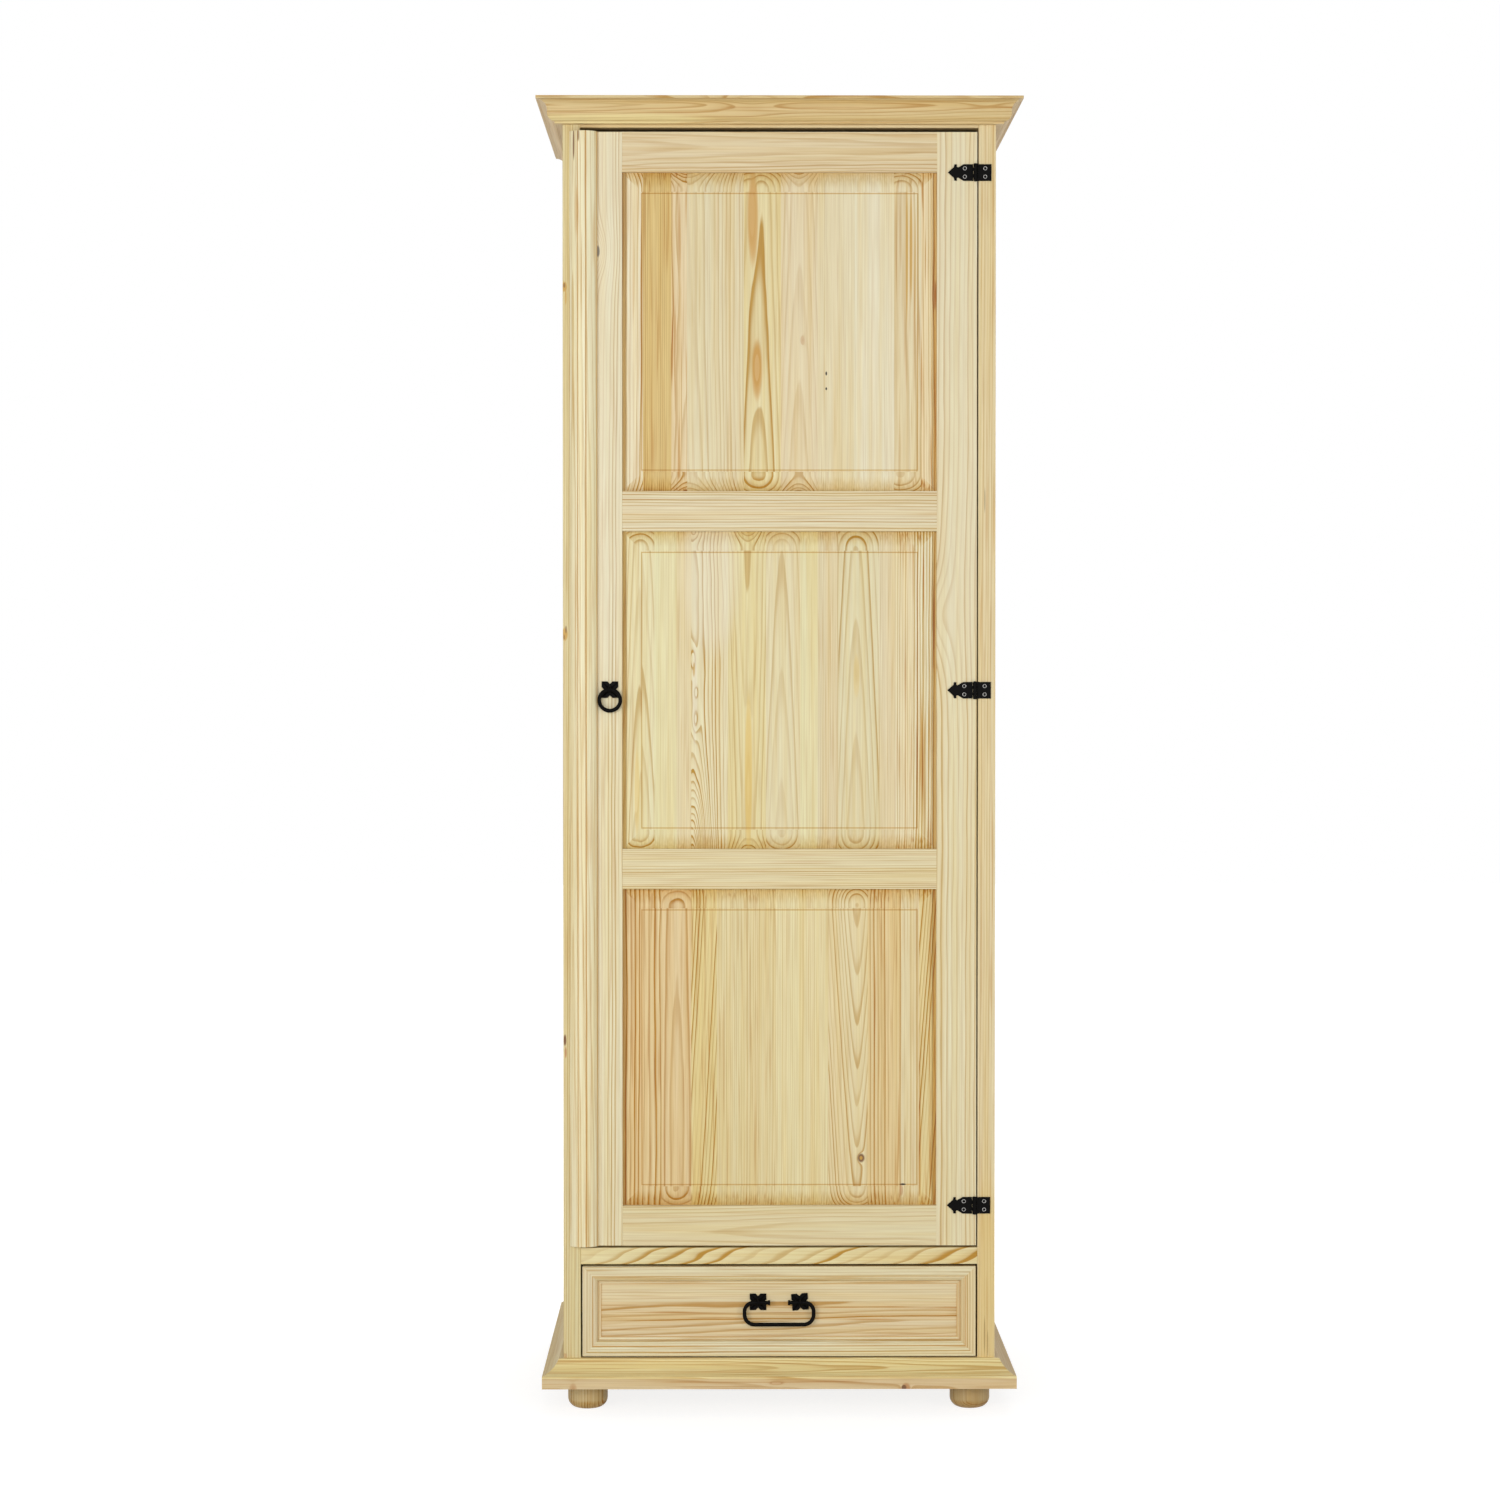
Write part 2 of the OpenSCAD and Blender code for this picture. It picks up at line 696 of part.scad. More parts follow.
// A panel of the door, counted from the bottom, standing loose in its grooves
module door_panel(i) {
    hold = panel_edge;
    color(pine_panel)
        translate([door_x0 + stile_w - hold, front_y + groove_set + tongue_t + fit / 2,
            door_z0 + rail_h - hold + i * rail_step])
        rotate([90, 0, 0]) raised_panel(panel_gap_w + 2 * hold, panel_gap_h + 2 * hold);
}

module door_panel_bottom() { door_panel(0); }
module door_panel_middle() { door_panel(1); }
module door_panel_top() { door_panel(2); }

// The arched cover strip, with two fine grooves along its crown. Its back clears the post it laps.
module door_cover_strip() {
    rise = strip_t - strip_edge;
    arch_r = (pow(strip_w / 2, 2) + pow(rise, 2)) / (2 * rise);
    grooves = [strip_w * 0.1, -strip_w * 0.2];
    cut = 1.6;
    color(pine) translate([door_x0 - strip_lap + strip_w / 2, front_y, door_z0])
        linear_extrude(door_h) difference() {
            intersection() {
                translate([-strip_w / 2, -strip_t]) square([strip_w, strip_t]);
                translate([0, arch_r - strip_t]) circle(arch_r, $fn = 120);
            }
            for (x = grooves) translate([x, arch_r - strip_t - sqrt(pow(arch_r, 2) - pow(x, 2))])
                rotate(45) square(cut, center = true);
            translate([-strip_w / 2 - eps, -run]) square([strip_lap + eps, run + eps]);
        }
}

// A magnetic catch under the shelf pulls on a small plate behind the lock stile
catch_w = 42;
catch_h = 14;
catch_deep = 28;
plate_t = 1.2;
plate_inset = [4, 1];    // how far the plate stays inside the outline of the catch
catch_x = door_x0 + stile_w / 2;
catch_gap = run;

module catch_magnet() {
    y0 = door_back + plate_t + catch_gap;
    color(dark_plastic) board([catch_x - catch_w / 2, y0, shelf_z - catch_h],
        [catch_x + catch_w / 2, max(y0, post_back) + catch_deep, shelf_z]);
}

module catch_plate() {
    half = catch_w / 2 - plate_inset.x;
    color(steel) board([catch_x - half, door_back, shelf_z - catch_h + plate_inset.y],
        [catch_x + half, door_back + plate_t, shelf_z - plate_inset.y]);
}

// Pulls ----------------------------------------------------------------------------------------

// A four-cornered rosette with a notch in each side, a crease along each diagonal and a low boss.
// Its back is at the origin, Z out.
module rosette() {
    notch = rosette_w * 0.31;
    boss_r = rosette_w * 0.18;
    boss_h = 0.8;
    difference() {
        union() {
            difference() {
                linear_extrude(rosette_t) difference() {
                    square(rosette_w, center = true);
                    for (turn = [0:90:270]) rotate(turn) translate([rosette_w / 2, 0])
                        rotate(45) square(notch / sqrt(2), center = true);
                }
                for (turn = [45, 135]) rotate(turn) translate([0, 0, rosette_t]) rotate([45, 0, 0])
                    cube([2 * rosette_w, crease * sqrt(2), crease * sqrt(2)], center = true);
            }
            cylinder(r = boss_r + boss_h, h = rosette_t);
            translate([0, 0, rosette_t]) cylinder(r1 = boss_r + boss_h, r2 = boss_r, h = boss_h);
        }
        translate([0, 0, -eps]) cylinder(d = shank_d + 2 * fit, h = rosette_t + 3 * eps);
    }
}

// A forged eye at the origin, its hole drilled along X, with a riveted shank through the wood
module pull_eye(wood) {
    neck = eye_r;                               // the shank starts inside the metal of the eye
    rotate([0, 90, 0]) difference() {
        rotate_extrude() translate([eye_r, 0]) circle(d = eye_wire);
        cylinder(r = eye_in, h = eye_wire, center = true);
    }
    translate([0, neck, 0]) rotate([-90, 0, 0])
        cylinder(d = shank_d, h = eye_set - neck + wood + rivet_t);
    translate([0, eye_set + wood, 0]) rotate([-90, 0, 0]) cylinder(d = rivet_d, h = rivet_t);
}

module ring_rosette() {
    color(iron) translate([ring_x, front_y, ring_z]) rotate([90, 0, 0]) rosette();
}

module ring_eye() {
    color(iron) translate([ring_x, front_y - eye_set, ring_z]) pull_eye(door_t);
}

module door_ring() {
    color(iron) translate([ring_x, front_y - eye_set, ring_z - ring_r]) rotate([90, 0, 0])
        rotate_extrude() translate([ring_r, 0]) circle(wire_r);
}

module bail_rosettes() {
    color(iron) for (side = [-1, 1]) translate([side * eye_apart / 2, front_y + panel_set, bail_z])
        rotate([90, 0, 0]) rotate(side > 0 ? rosette_turn : 0) rosette();
}

module bail_eyes() {
    color(iron) both_sides() translate([eye_apart / 2, bail_y, bail_z]) pull_eye(front_panel_t);
}

// The bail: straight ends through the eyes with a knob on each, round corners and a straight grip
module drawer_bail() {
    half = bail_w / 2 - wire_r;
    end_len = 17.5;                             // from the middle of an eye to the end of the bail
    end_x = eye_apart / 2 - end_len;
    knob_r = wire_r + 0.9;
    knob_t = 3;
    color(iron) translate([0, bail_y, bail_z]) {
        both_sides() {
            translate([end_x, 0, 0]) rotate([0, 90, 0]) {
                cylinder(r = wire_r, h = half - bail_top_r - end_x);
                cylinder(r = knob_r, h = knob_t);
            }
            translate([half - bail_top_r, 0, -bail_top_r]) rotate([90, 0, 0])
                rotate_extrude(angle = 90) translate([bail_top_r, 0]) circle(wire_r);
            translate([half, 0, -bail_drop + bail_low_r])
                cylinder(r = wire_r, h = bail_drop - bail_low_r - bail_top_r);
            translate([half - bail_low_r, 0, -bail_drop + bail_low_r]) rotate([90, 90, 0])
                rotate_extrude(angle = 90) translate([bail_low_r, 0]) circle(wire_r);
        }
        translate([-half + bail_low_r, 0, -bail_drop]) rotate([0, 90, 0])
            cylinder(r = wire_r, h = 2 * (half - bail_low_r));
    }
}

// Drawer ---------------------------------------------------------------------------------------

// Section of the moulded bar: X in from the outer edge, Y out of the face, which lies at zero
module bar_section() {
    round_end = bar_flat + bar_round;
    low = -quirk - bar_round;
    difference() {
        translate([0, -front_t]) square([bar_w, front_t]);
        translate([bar_flat, low]) difference() {
            square([bar_w, bar_round + quirk + eps]);
            circle(bar_round);
        }
        translate([bar_w - bar_groove, -panel_set - front_panel_t - fit])
            square([bar_groove + eps, front_panel_t + fit]);
    }
}

// A bar of the drawer front, mitred at both ends: it lies along X, its inner edge up
module mitred_bar(len) {
    reach = bar_w + eps;
    intersection() {
        translate([-len / 2, 0, 0]) rotate([90, 0, 90]) linear_extrude(len) bar_section();
        translate([0, 0, -front_t - eps]) linear_extrude(front_t + 2 * eps)
            polygon([[-len / 2, 0], [len / 2, 0], [len / 2 - reach, reach], [-len / 2 + reach, reach]]);
    }
}

// Places a bar on one side of the drawer front and lets the drawer sides and bottom into it
module front_bar(turn, len, away) {
    color(pine) difference() {
        translate([0, front_y, drawer_mid]) rotate([90, turn, 0])
            translate([0, -away, 0]) mitred_bar(len);
        both_sides() board([drawer_in - fit, drawer_back_y - housing - fit, drawer_side_z - fit],
            [drawer_out + fit, drawer_back_y + eps, drawer_side_z + drawer_side_h + fit]);
        board([-drawer_in, drawer_back_y - housing - fit, drawer_bottom_z - fit],
            [drawer_in, drawer_back_y + eps, drawer_bottom_z + drawer_bottom_t + fit]);
    }
}

module drawer_frame_bottom() { front_bar(0, 2 * drawer_x, drawer_h / 2); }
module drawer_frame_top() { front_bar(180, 2 * drawer_x, drawer_h / 2); }
module drawer_frame_left() { front_bar(90, drawer_h, drawer_x); }
module drawer_frame_right() { front_bar(-90, drawer_h, drawer_x); }

module drawer_front_panel() {
    hold = bar_w - bar_groove + fit;
    y = front_y + panel_set;
    color(pine_panel) difference() {
        board([-drawer_x + hold, y, drawer_z0 + hold],
            [drawer_x - hold, y + front_panel_t, drawer_z1 - hold]);
        both_sides() translate([eye_apart / 2, y - eps, bail_z]) rotate([-90, 0, 0])
            cylinder(d = shank_d + 2 * fit, h = front_panel_t + 2 * eps);
    }
}

module drawer_side() {
    color(pine) difference() {
        board([drawer_in, drawer_back_y - housing, drawer_side_z],
            [drawer_out, drawer_end, drawer_side_z + drawer_side_h]);
        board([drawer_out - runner_groove, runner_front - run, runner_z - run],
            [drawer_out + eps, drawer_end + eps, runner_z + runner_h + run]);
        board([drawer_in - eps, drawer_back_y - housing - eps, drawer_bottom_z],
            [drawer_in + bottom_groove, drawer_end - drawer_wall / 2,
                drawer_bottom_z + drawer_bottom_t + fit]);
    }
}

module drawer_side_left() { mirror([1, 0, 0]) drawer_side(); }
module drawer_side_right() { drawer_side(); }

module drawer_back() {
    color(pine) difference() {
        board([-drawer_in, drawer_end - drawer_wall, drawer_side_z],
            [drawer_in, drawer_end, drawer_side_z + drawer_side_h]);
        board([-drawer_in - eps, drawer_end - drawer_wall - eps, drawer_bottom_z],
            [drawer_in + eps, drawer_end - drawer_wall / 2, drawer_bottom_z + drawer_bottom_t + fit]);
    }
}

module drawer_bottom() {
    edge = drawer_in + bottom_groove - fit;
    color(plywood) union() {
        board([-edge, drawer_back_y, drawer_bottom_z],
            [edge, drawer_end - drawer_wall / 2 - fit, drawer_bottom_z + drawer_bottom_t]);
        board([-drawer_in + fit, drawer_back_y - housing, drawer_bottom_z],
            [drawer_in - fit, drawer_back_y, drawer_bottom_z + drawer_bottom_t]);
    }
}

// A runner on the side panel, which carries the drawer in the groove of its side
module drawer_runner() {
    tip = drawer_out - runner_groove + run;
    color(pine) board([tip, runner_front, runner_z], [side_in, rear_y - runner_rear, runner_z + runner_h]);
}

module drawer_runner_left() { mirror([1, 0, 0]) drawer_runner(); }
module drawer_runner_right() { drawer_runner(); }

// The assembly ---------------------------------------------------------------------------------

side_panel_left();
side_panel_right();
post_left();
post_right();
top_rail();
divider_rail();
top_panel();
compartment_floor();
bottom_panel();
back_panel();
hat_shelf();
shelf_cleats();
hanging_rail();
rail_sockets();
cornice_front();
cornice_left();
cornice_right();
plinth_front();
plinth_left();
plinth_right();
foot_front_left();
foot_front_right();
foot_back_left();
foot_back_right();
foot_blocks();
drawer_runner_left();
drawer_runner_right();
catch_magnet();
hinge_post_leaves();
hinge_pins();
hinge_post_screws();
door_stile_lock();
door_stile_hinge();
door_rail_top();
door_rail_upper();
door_rail_lower();
door_rail_bottom();
door_panel_top();
door_panel_middle();
door_panel_bottom();
door_cover_strip();
hinge_door_leaves();
hinge_door_screws();
catch_plate();
ring_rosette();
ring_eye();
door_ring();
drawer_frame_top();
drawer_frame_bottom();
drawer_frame_left();
drawer_frame_right();
drawer_front_panel();
drawer_side_left();
drawer_side_right();
drawer_back();
drawer_bottom();
bail_rosettes();
bail_eyes();
drawer_bail();
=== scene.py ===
"""A single-door pine armoire: the finishes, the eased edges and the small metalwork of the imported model."""
import math
from collections import namedtuple

import bmesh
import bpy
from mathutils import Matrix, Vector


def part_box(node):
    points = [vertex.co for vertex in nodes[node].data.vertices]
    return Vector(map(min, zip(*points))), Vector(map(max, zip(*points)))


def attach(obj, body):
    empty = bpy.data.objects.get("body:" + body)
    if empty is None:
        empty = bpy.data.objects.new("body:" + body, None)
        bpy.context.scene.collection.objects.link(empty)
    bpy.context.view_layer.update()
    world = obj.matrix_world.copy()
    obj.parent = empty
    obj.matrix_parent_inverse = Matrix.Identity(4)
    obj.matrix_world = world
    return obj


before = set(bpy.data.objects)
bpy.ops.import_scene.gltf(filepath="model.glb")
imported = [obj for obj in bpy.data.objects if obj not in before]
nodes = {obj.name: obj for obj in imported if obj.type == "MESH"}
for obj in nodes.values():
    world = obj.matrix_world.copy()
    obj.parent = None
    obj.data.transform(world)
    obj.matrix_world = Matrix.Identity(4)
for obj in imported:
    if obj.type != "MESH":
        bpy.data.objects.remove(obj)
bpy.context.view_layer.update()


# Shader maths ---------------------------------------------------------------------------------

def _operator(operation, swapped=False):
    def work_out(self, other):
        pair = (other, self) if swapped else (self, other)
        return self.finish.math(operation, *pair)
    return work_out


class Value:
    """An output socket. Sums, differences and products of values add the Math nodes that make them."""

    def __init__(self, finish, socket):
        self.finish = finish
        self.socket = socket

    def __getitem__(self, output):
        return Value(self.finish, self.socket.node.outputs[output])

    __add__ = _operator("ADD")
    __radd__ = _operator("ADD", swapped=True)
    __sub__ = _operator("SUBTRACT")
    __rsub__ = _operator("SUBTRACT", swapped=True)
    __mul__ = _operator("MULTIPLY")
    __rmul__ = _operator("MULTIPLY", swapped=True)
    __truediv__ = _operator("DIVIDE")
    __rtruediv__ = _operator("DIVIDE", swapped=True)
    __pow__ = _operator("POWER")


class Finish:
    """A material, or the light of a world, under construction."""

    def __init__(self, name, kind="materials", end="OutputMaterial"):
        self.material = getattr(bpy.data, kind).new(name)
        self.material.use_nodes = True
        self.tree = self.material.node_tree
        self.tree.nodes.clear()
        self.end = end

    def node(self, kind, settings=None, inputs=None, output=0):
        """Adds a node: first its settings, then the values or links of its sockets."""
        made = self.tree.nodes.new("ShaderNode" + kind)
        for name, setting in (settings or {}).items():
            if name == "stops":
                self.set_stops(made.color_ramp, setting)
            else:
                setattr(made, name, setting)
        for name, value in (inputs or {}).items():
            if isinstance(value, Value):
                self.tree.links.new(value.socket, made.inputs[name])
            else:
                made.inputs[name].default_value = value
        return Value(self, made.outputs[output])

    @staticmethod
    def set_stops(ramp, stops):
        """Stops of a ramp as (place, colour of four numbers), in order; held flat between them."""
        ramp.interpolation = "CONSTANT"
        while len(ramp.elements) < len(stops):
            ramp.elements.new(1.0)
        for element, (place, colour) in zip(ramp.elements, stops):
            element.position = place
            element.color = colour

    def math(self, operation, *terms):
        """A Math node on values, links or numbers."""
        return self.node("Math", {"operation": operation}, dict(enumerate(terms)))

    def vector(self, x, y, z):
        return self.node("CombineXYZ", inputs={0: x, 1: y, 2: z})

    def smooth(self, value, low, high):
        """Rises from 0 at low to 1 at high, with soft ends."""
        return self.node("MapRange", {"interpolation_type": "SMOOTHSTEP"},
                         {"Value": value, "From Min": low, "From Max": high})

    def noise(self, point, detail=2.0, dimensions="3D", place="Vector"):
        """Cloudy noise around 0.5 at a point that already has its scale."""
        return self.node("TexNoise", {"noise_dimensions": dimensions},
                         {place: point, "Scale": 1.0, "Detail": detail, "Roughness": 0.5})

    def grit(self, scale):
        """Even noise over a whole piece, with about so many grains to a metre."""
        return self.node("TexNoise", {}, {"Vector": self.node("TexCoord", output="Object"),
                                          "Scale": scale, "Detail": 2.0})

    def blend(self, factor, first, second, way="MIX"):
        """Two colours laid over each other."""
        return self.node("Mix", {"data_type": "RGBA", "blend_type": way},
                         {0: factor, 6: first, 7: second}, 2)

    def deepened(self, factor, colour, left):
        """A colour of which only a part is left, as far as the factor says."""
        return self.blend(factor, colour, self.blend(1.0, colour, left, "MULTIPLY"))

    def bump(self, height, distance):
        """A normal from a height between 0 and 1, over a distance in metres."""
        return self.node("Bump", inputs={"Strength": 1.0, "Distance": distance, "Height": height})

    def surface(self, **sockets):
        """Ends the material in the standard shader; names of sockets have _ for a space."""
        inputs = {name.replace("_", " "): value for name, value in sockets.items()}
        self.end_in(self.node("BsdfPrincipled", inputs=inputs))
        return self.material

    def end_in(self, shader):
        """Joins a shader to the output of the material or the world."""
        made = self.tree.nodes.new("ShaderNode" + self.end)
        self.tree.links.new(shader.socket, made.inputs["Surface"])


def paint(red, green, blue):
    """A colour as screens give it, from 0 to 255, as the four numbers of a shader colour."""
    def to_light(level):
        """The curve of the sRGB standard."""
        share = level / 255
        return share / 12.92 if share <= 0.04045 else ((share + 0.055) / 1.055) ** 2.4
    return (to_light(red), to_light(green), to_light(blue), 1.0)


# Pine -----------------------------------------------------------------------------------------

# How a board was cut from its log, in millimetres.
# aside: from the middle of the board to the pith, across the grain.
# behind: how deep the pith lies under the face, less than zero where it lay in front of it.
# taper: how much nearer to the pith a ring runs for each metre up the board.
# ring: width of a year's growth. late: strength of the dark lines, from 0 to 2.
# wander: how far the rings stray from straight. streaks: strength of the thin dark streaks, from 0 to 1.
Figure = namedtuple("Figure", "aside behind taper ring late wander streaks", defaults=(0.35,))

# The colours of stains in the wood
KNOT_WOOD = (0.20, 0.095, 0.035, 1.0)
RESIN = (0.02, 0.012, 0.008, 1.0)
HEART = (0.60, 0.33, 0.085, 1.0)             # the middle of a flame; also the painted shade along grooves
SMEAR = (0.50, 0.24, 0.09, 1.0)              # reddish, round a knot
GOLDEN = (0.74, 0.52, 0.15, 1.0)
AMBER = (0.58, 0.32, 0.05, 1.0)              # lines that are rich in resin
CREAMY = (0.80, 0.73, 0.56, 1.0)             # the paler parts of a board
STRAW = (0.86, 0.76, 0.38, 1.0)
HONEY = (0.62, 0.42, 0.16, 1.0)

# A knot, a patch or line of another colour, or an eye in the grain where it isn't dark.
# In millimetres: its place from the middle of the board, across and along the grain, its half width and half
# height, and how far it pushes the rings outward. Then how dark it is, from 0 to 1, its colour, and the
# middle and half width of the stave in which it pushes the rings.
Knot = namedtuple("Knot", "across along wide tall push dark colour limit", defaults=(KNOT_WOOD, None))

# One stave of a glued panel: its width in millimetres, its colour, its figure and its knots, whose places are
# measured across from the middle of the stave.
Stave = namedtuple("Stave", "width tint figure knots", defaults=((),))

# Painted shade along a moulded board, in its corners and along an edge: where across it, how wide in
# millimetres, how dark.
ShadedGroove = namedtuple("ShadedGroove", "across wide dark")

MM = 0.001
AXES = {"x": 0, "y": 1, "z": 2}
DEPTH_GAIN = 2.0                             # rings lie closer in depth than across the face
DRIFT = 3.7                                  # how far the noise of one board lies from that of the next
MIDDLING = (0.35, 0.65)                      # the part of a cloudy noise over which it turns from 0 to 1
GRAIN_RELIEF = 0.00004                       # how far the late wood stands up after planing, in metres

# What is left of the colour under them by the things that deepen it
LATE_WOOD = (0.62, 0.385, 0.085, 1.0)        # a full dark line
WARM_WOOD = (1.0, 0.95, 0.90, 1.0)           # years of pinkish growth
OCHRE_WOOD = (0.98, 0.93, 0.80, 1.0)         # broad ochre streaks
STREAK_WOOD = (0.72, 0.48, 0.22, 1.0)        # thin dark streaks
END_GRAIN = (0.92, 0.83, 0.66, 1.0)          # a cut across the grain
SHADED_CORNER = (0.78, 0.60, 0.33, 1.0)      # dust and painted shade in a corner


def place_in_board(finish, node, along, deep):
    """Places across the grain and along it from the middle of a board, and the depth under its first face."""
    low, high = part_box(node)
    middle = (low + high) / 2
    place = finish.node("SeparateXYZ", inputs={0: finish.node("TexCoord", output="Object")})
    wide = wide_axis(along, deep)
    across = place[AXES[wide]] - middle[AXES[wide]]
    lengthwise = place[AXES[along]] - middle[AXES[along]]
    return across, place[AXES[deep]] - low[AXES[deep]], lengthwise


def looks_along(finish, axis, low, high):
    """1 where the surface faces along an axis of the armoire, 0 where it faces well away from it."""
    facing = finish.node("SeparateXYZ", inputs={0: finish.node("TexCoord", output="Normal")})[AXES[axis]]
    return finish.smooth(finish.math("ABSOLUTE", facing), low, high)


def across_the_grain(finish, along):
    """0 on a long face of a board, 1 on an end or a cut across the grain."""
    return looks_along(finish, along, 0.02, 0.4)


def wide_axis(along, deep):
    """The axis across the grain, given the one along it and the one into the board."""
    return ({"x", "y", "z"} - {along, deep}).pop()


def drawn_out(finish, place, fine, long, across_by=0.0, along_by=0.0, detail=1.0):
    """Cloudy noise drawn out along the grain: so many clouds to a metre across the grain and along it."""
    across, inward, lengthwise = place
    point = finish.vector(across * fine + across_by, inward * fine, lengthwise * long + along_by)
    return finish.noise(point, detail)


def rings_round_the_pith(finish, place, figure, seed):
    """Distance of a place from the pith of its tree, with the rings a little out of true."""
    across, inward, lengthwise = place
    drift = seed * DRIFT
    broad = drawn_out(finish, place, 11, 1.9, drift, drift, detail=2.0) - 0.5
    small = drawn_out(finish, place, 60, 9, drift, -drift, detail=2.0) - 0.5
    side = across - figure.aside * MM
    depth = figure.behind * MM - DEPTH_GAIN * inward
    growth = (side * side + depth * depth) ** 0.5 + figure.taper * MM * lengthwise
    return growth + figure.wander * MM * (broad + small * 0.2)


def rings_on_the_slant(finish, place, figure, seed):
    """Rings that cross a narrow rail in slanting bands, lying flatter at its edges than in its middle."""
    across, inward, lengthwise = place
    wave = drawn_out(finish, place, 25, 14, along_by=seed, detail=2.0) - 0.5
    return lengthwise - across * (1.2 + across * across * 9000) + figure.wander * MM * wave - inward


def past_knots(finish, place, growth, knots, wide):
    """The rings pushed aside by knots, and the colours that the knots lay over the wood, with their
    strengths.

    These colours are left off the long narrow sides of a board, which they would cross from face to face.
    """
    across, _, lengthwise = place
    on_face = 1 - looks_along(finish, wide, 0.8, 0.95) if knots else 1
    stains_and_shade = []
    for knot in knots:
        beside = (across - knot.across * MM) / (knot.wide * MM)
        above = (lengthwise - knot.along * MM) / (knot.tall * MM)
        reach = beside * beside + above * above
        if knot.push:
            near = 1 / (1 + reach)
            push = knot.push * MM * near * near
            if knot.limit:
                within = finish.math("ABSOLUTE", across - knot.limit[0] * MM)
                push = push * finish.math("LESS_THAN", within, knot.limit[1] * MM)
            growth = growth + push
        if knot.dark:
            stains_and_shade.append((knot.dark * on_face * (1 - finish.smooth(reach, 0.35, 1.2)), knot.colour))
    return growth, stains_and_shade


def wood_colour(finish, place, growth, end, tint, figure, seed, stains_and_shade):
    """Colour and height of pine from its rings. Tint and figure are numbers, or values from the staves."""
    drift = seed * DRIFT
    years = growth / (figure.ring * MM)
    years = years + 1.5 * finish.noise(years * 0.15 + seed, 1.0, "1D", "W")
    within = finish.math("FRACT", years)
    year = finish.node("TexWhiteNoise", {"noise_dimensions": "1D"}, {"W": finish.math("FLOOR", years) + seed})
    group = finish.smooth(finish.noise(years * 0.31 - seed, 1.0, "1D", "W"), *MIDDLING)
    # A year's growth darkens slowly and then fast, and ends sharply; lines vary by the year and in groups
    line = 0.2 * finish.smooth(within, 0.1, 0.7) + 0.8 * finish.smooth(within, 0.56, 0.84)
    line = line * (1 - finish.smooth(within, 0.92, 1.0))
    late = line * (0.35 + 0.75 * year) * (0.35 + 0.75 * group) * figure.late * (1 + 1.3 * end)
    warmth = finish.smooth(finish.noise(years * 0.17 + seed * 2, 1.0, "1D", "W"), *MIDDLING)
    broad = finish.smooth(drawn_out(finish, place, 95, 2.2, -drift), 0.35, 0.75)
    thin = finish.smooth(drawn_out(finish, place, 260, 6, drift, drift), 0.52, 0.74) * figure.streaks
    fibre = drawn_out(finish, place, 420, 9, drift)
    colour = finish.deepened(warmth * 0.6, tint, WARM_WOOD)
    colour = finish.deepened(broad, colour, OCHRE_WOOD)
    colour = finish.deepened(end, colour, END_GRAIN)
    colour = finish.deepened(late, colour, LATE_WOOD)
    colour = finish.deepened(thin, colour, STREAK_WOOD)
    shade = 0.82 + 0.36 * fibre
    colour = finish.blend(1.0, colour, finish.vector(shade ** 0.7, shade, shade ** 1.5), "MULTIPLY")
    # Stains of knots and patches, and painted shade along the grooves of moulded boards
    for strength, overlay in stains_and_shade:
        colour = finish.blend(strength, colour, overlay)
    return colour, fibre * 0.5 + late


def planed(finish, colour, height):
    """The planed, matt surface of the wood."""
    return finish.surface(Base_Color=colour, Roughness=0.48 + 0.12 * height, IOR=1.45,
                          Normal=finish.bump(height, GRAIN_RELIEF))


def pine(node, along, deep, tint, figure, seed, knots=(), rings=rings_round_the_pith, groove_shade=()):
    """The finish of a board of one piece of wood."""
    finish = Finish("pine_" + node)
    place = place_in_board(finish, node, along, deep)
    growth = rings(finish, place, figure, seed)
    growth, stains_and_shade = past_knots(finish, place, growth, knots, wide_axis(along, deep))
    # Painted shade: darker lines in the corners of a moulding and a painted shadow along an edge, in the
    # colour HEART
    for groove in groove_shade:
        off = finish.math("ABSOLUTE", place[0] - groove.across * MM)
        line = 1 - finish.smooth(off, 0.25 * groove.wide * MM, groove.wide * MM)
        stains_and_shade.append((groove.dark * line, HEART))
    end = across_the_grain(finish, along)
    colour, height = wood_colour(finish, place, growth, end, paint(*tint), figure, seed, stains_and_shade)
    return planed(finish, colour, height)


# Glued panels ---------------------------------------------------------------------------------

# Limits between which a ramp holds each part of a figure
RANGES = Figure(aside=(-400, 400), behind=(-150, 150), taper=(-400, 400), ring=(1, 9), late=(0, 2),
                wander=(0, 40), streaks=(0, 1))

# The raised field of a door panel, in millimetres: half its width and half its height, and half the width
# between the channels along the stiles
Field = namedtuple("Field", "half_width half_height channel")


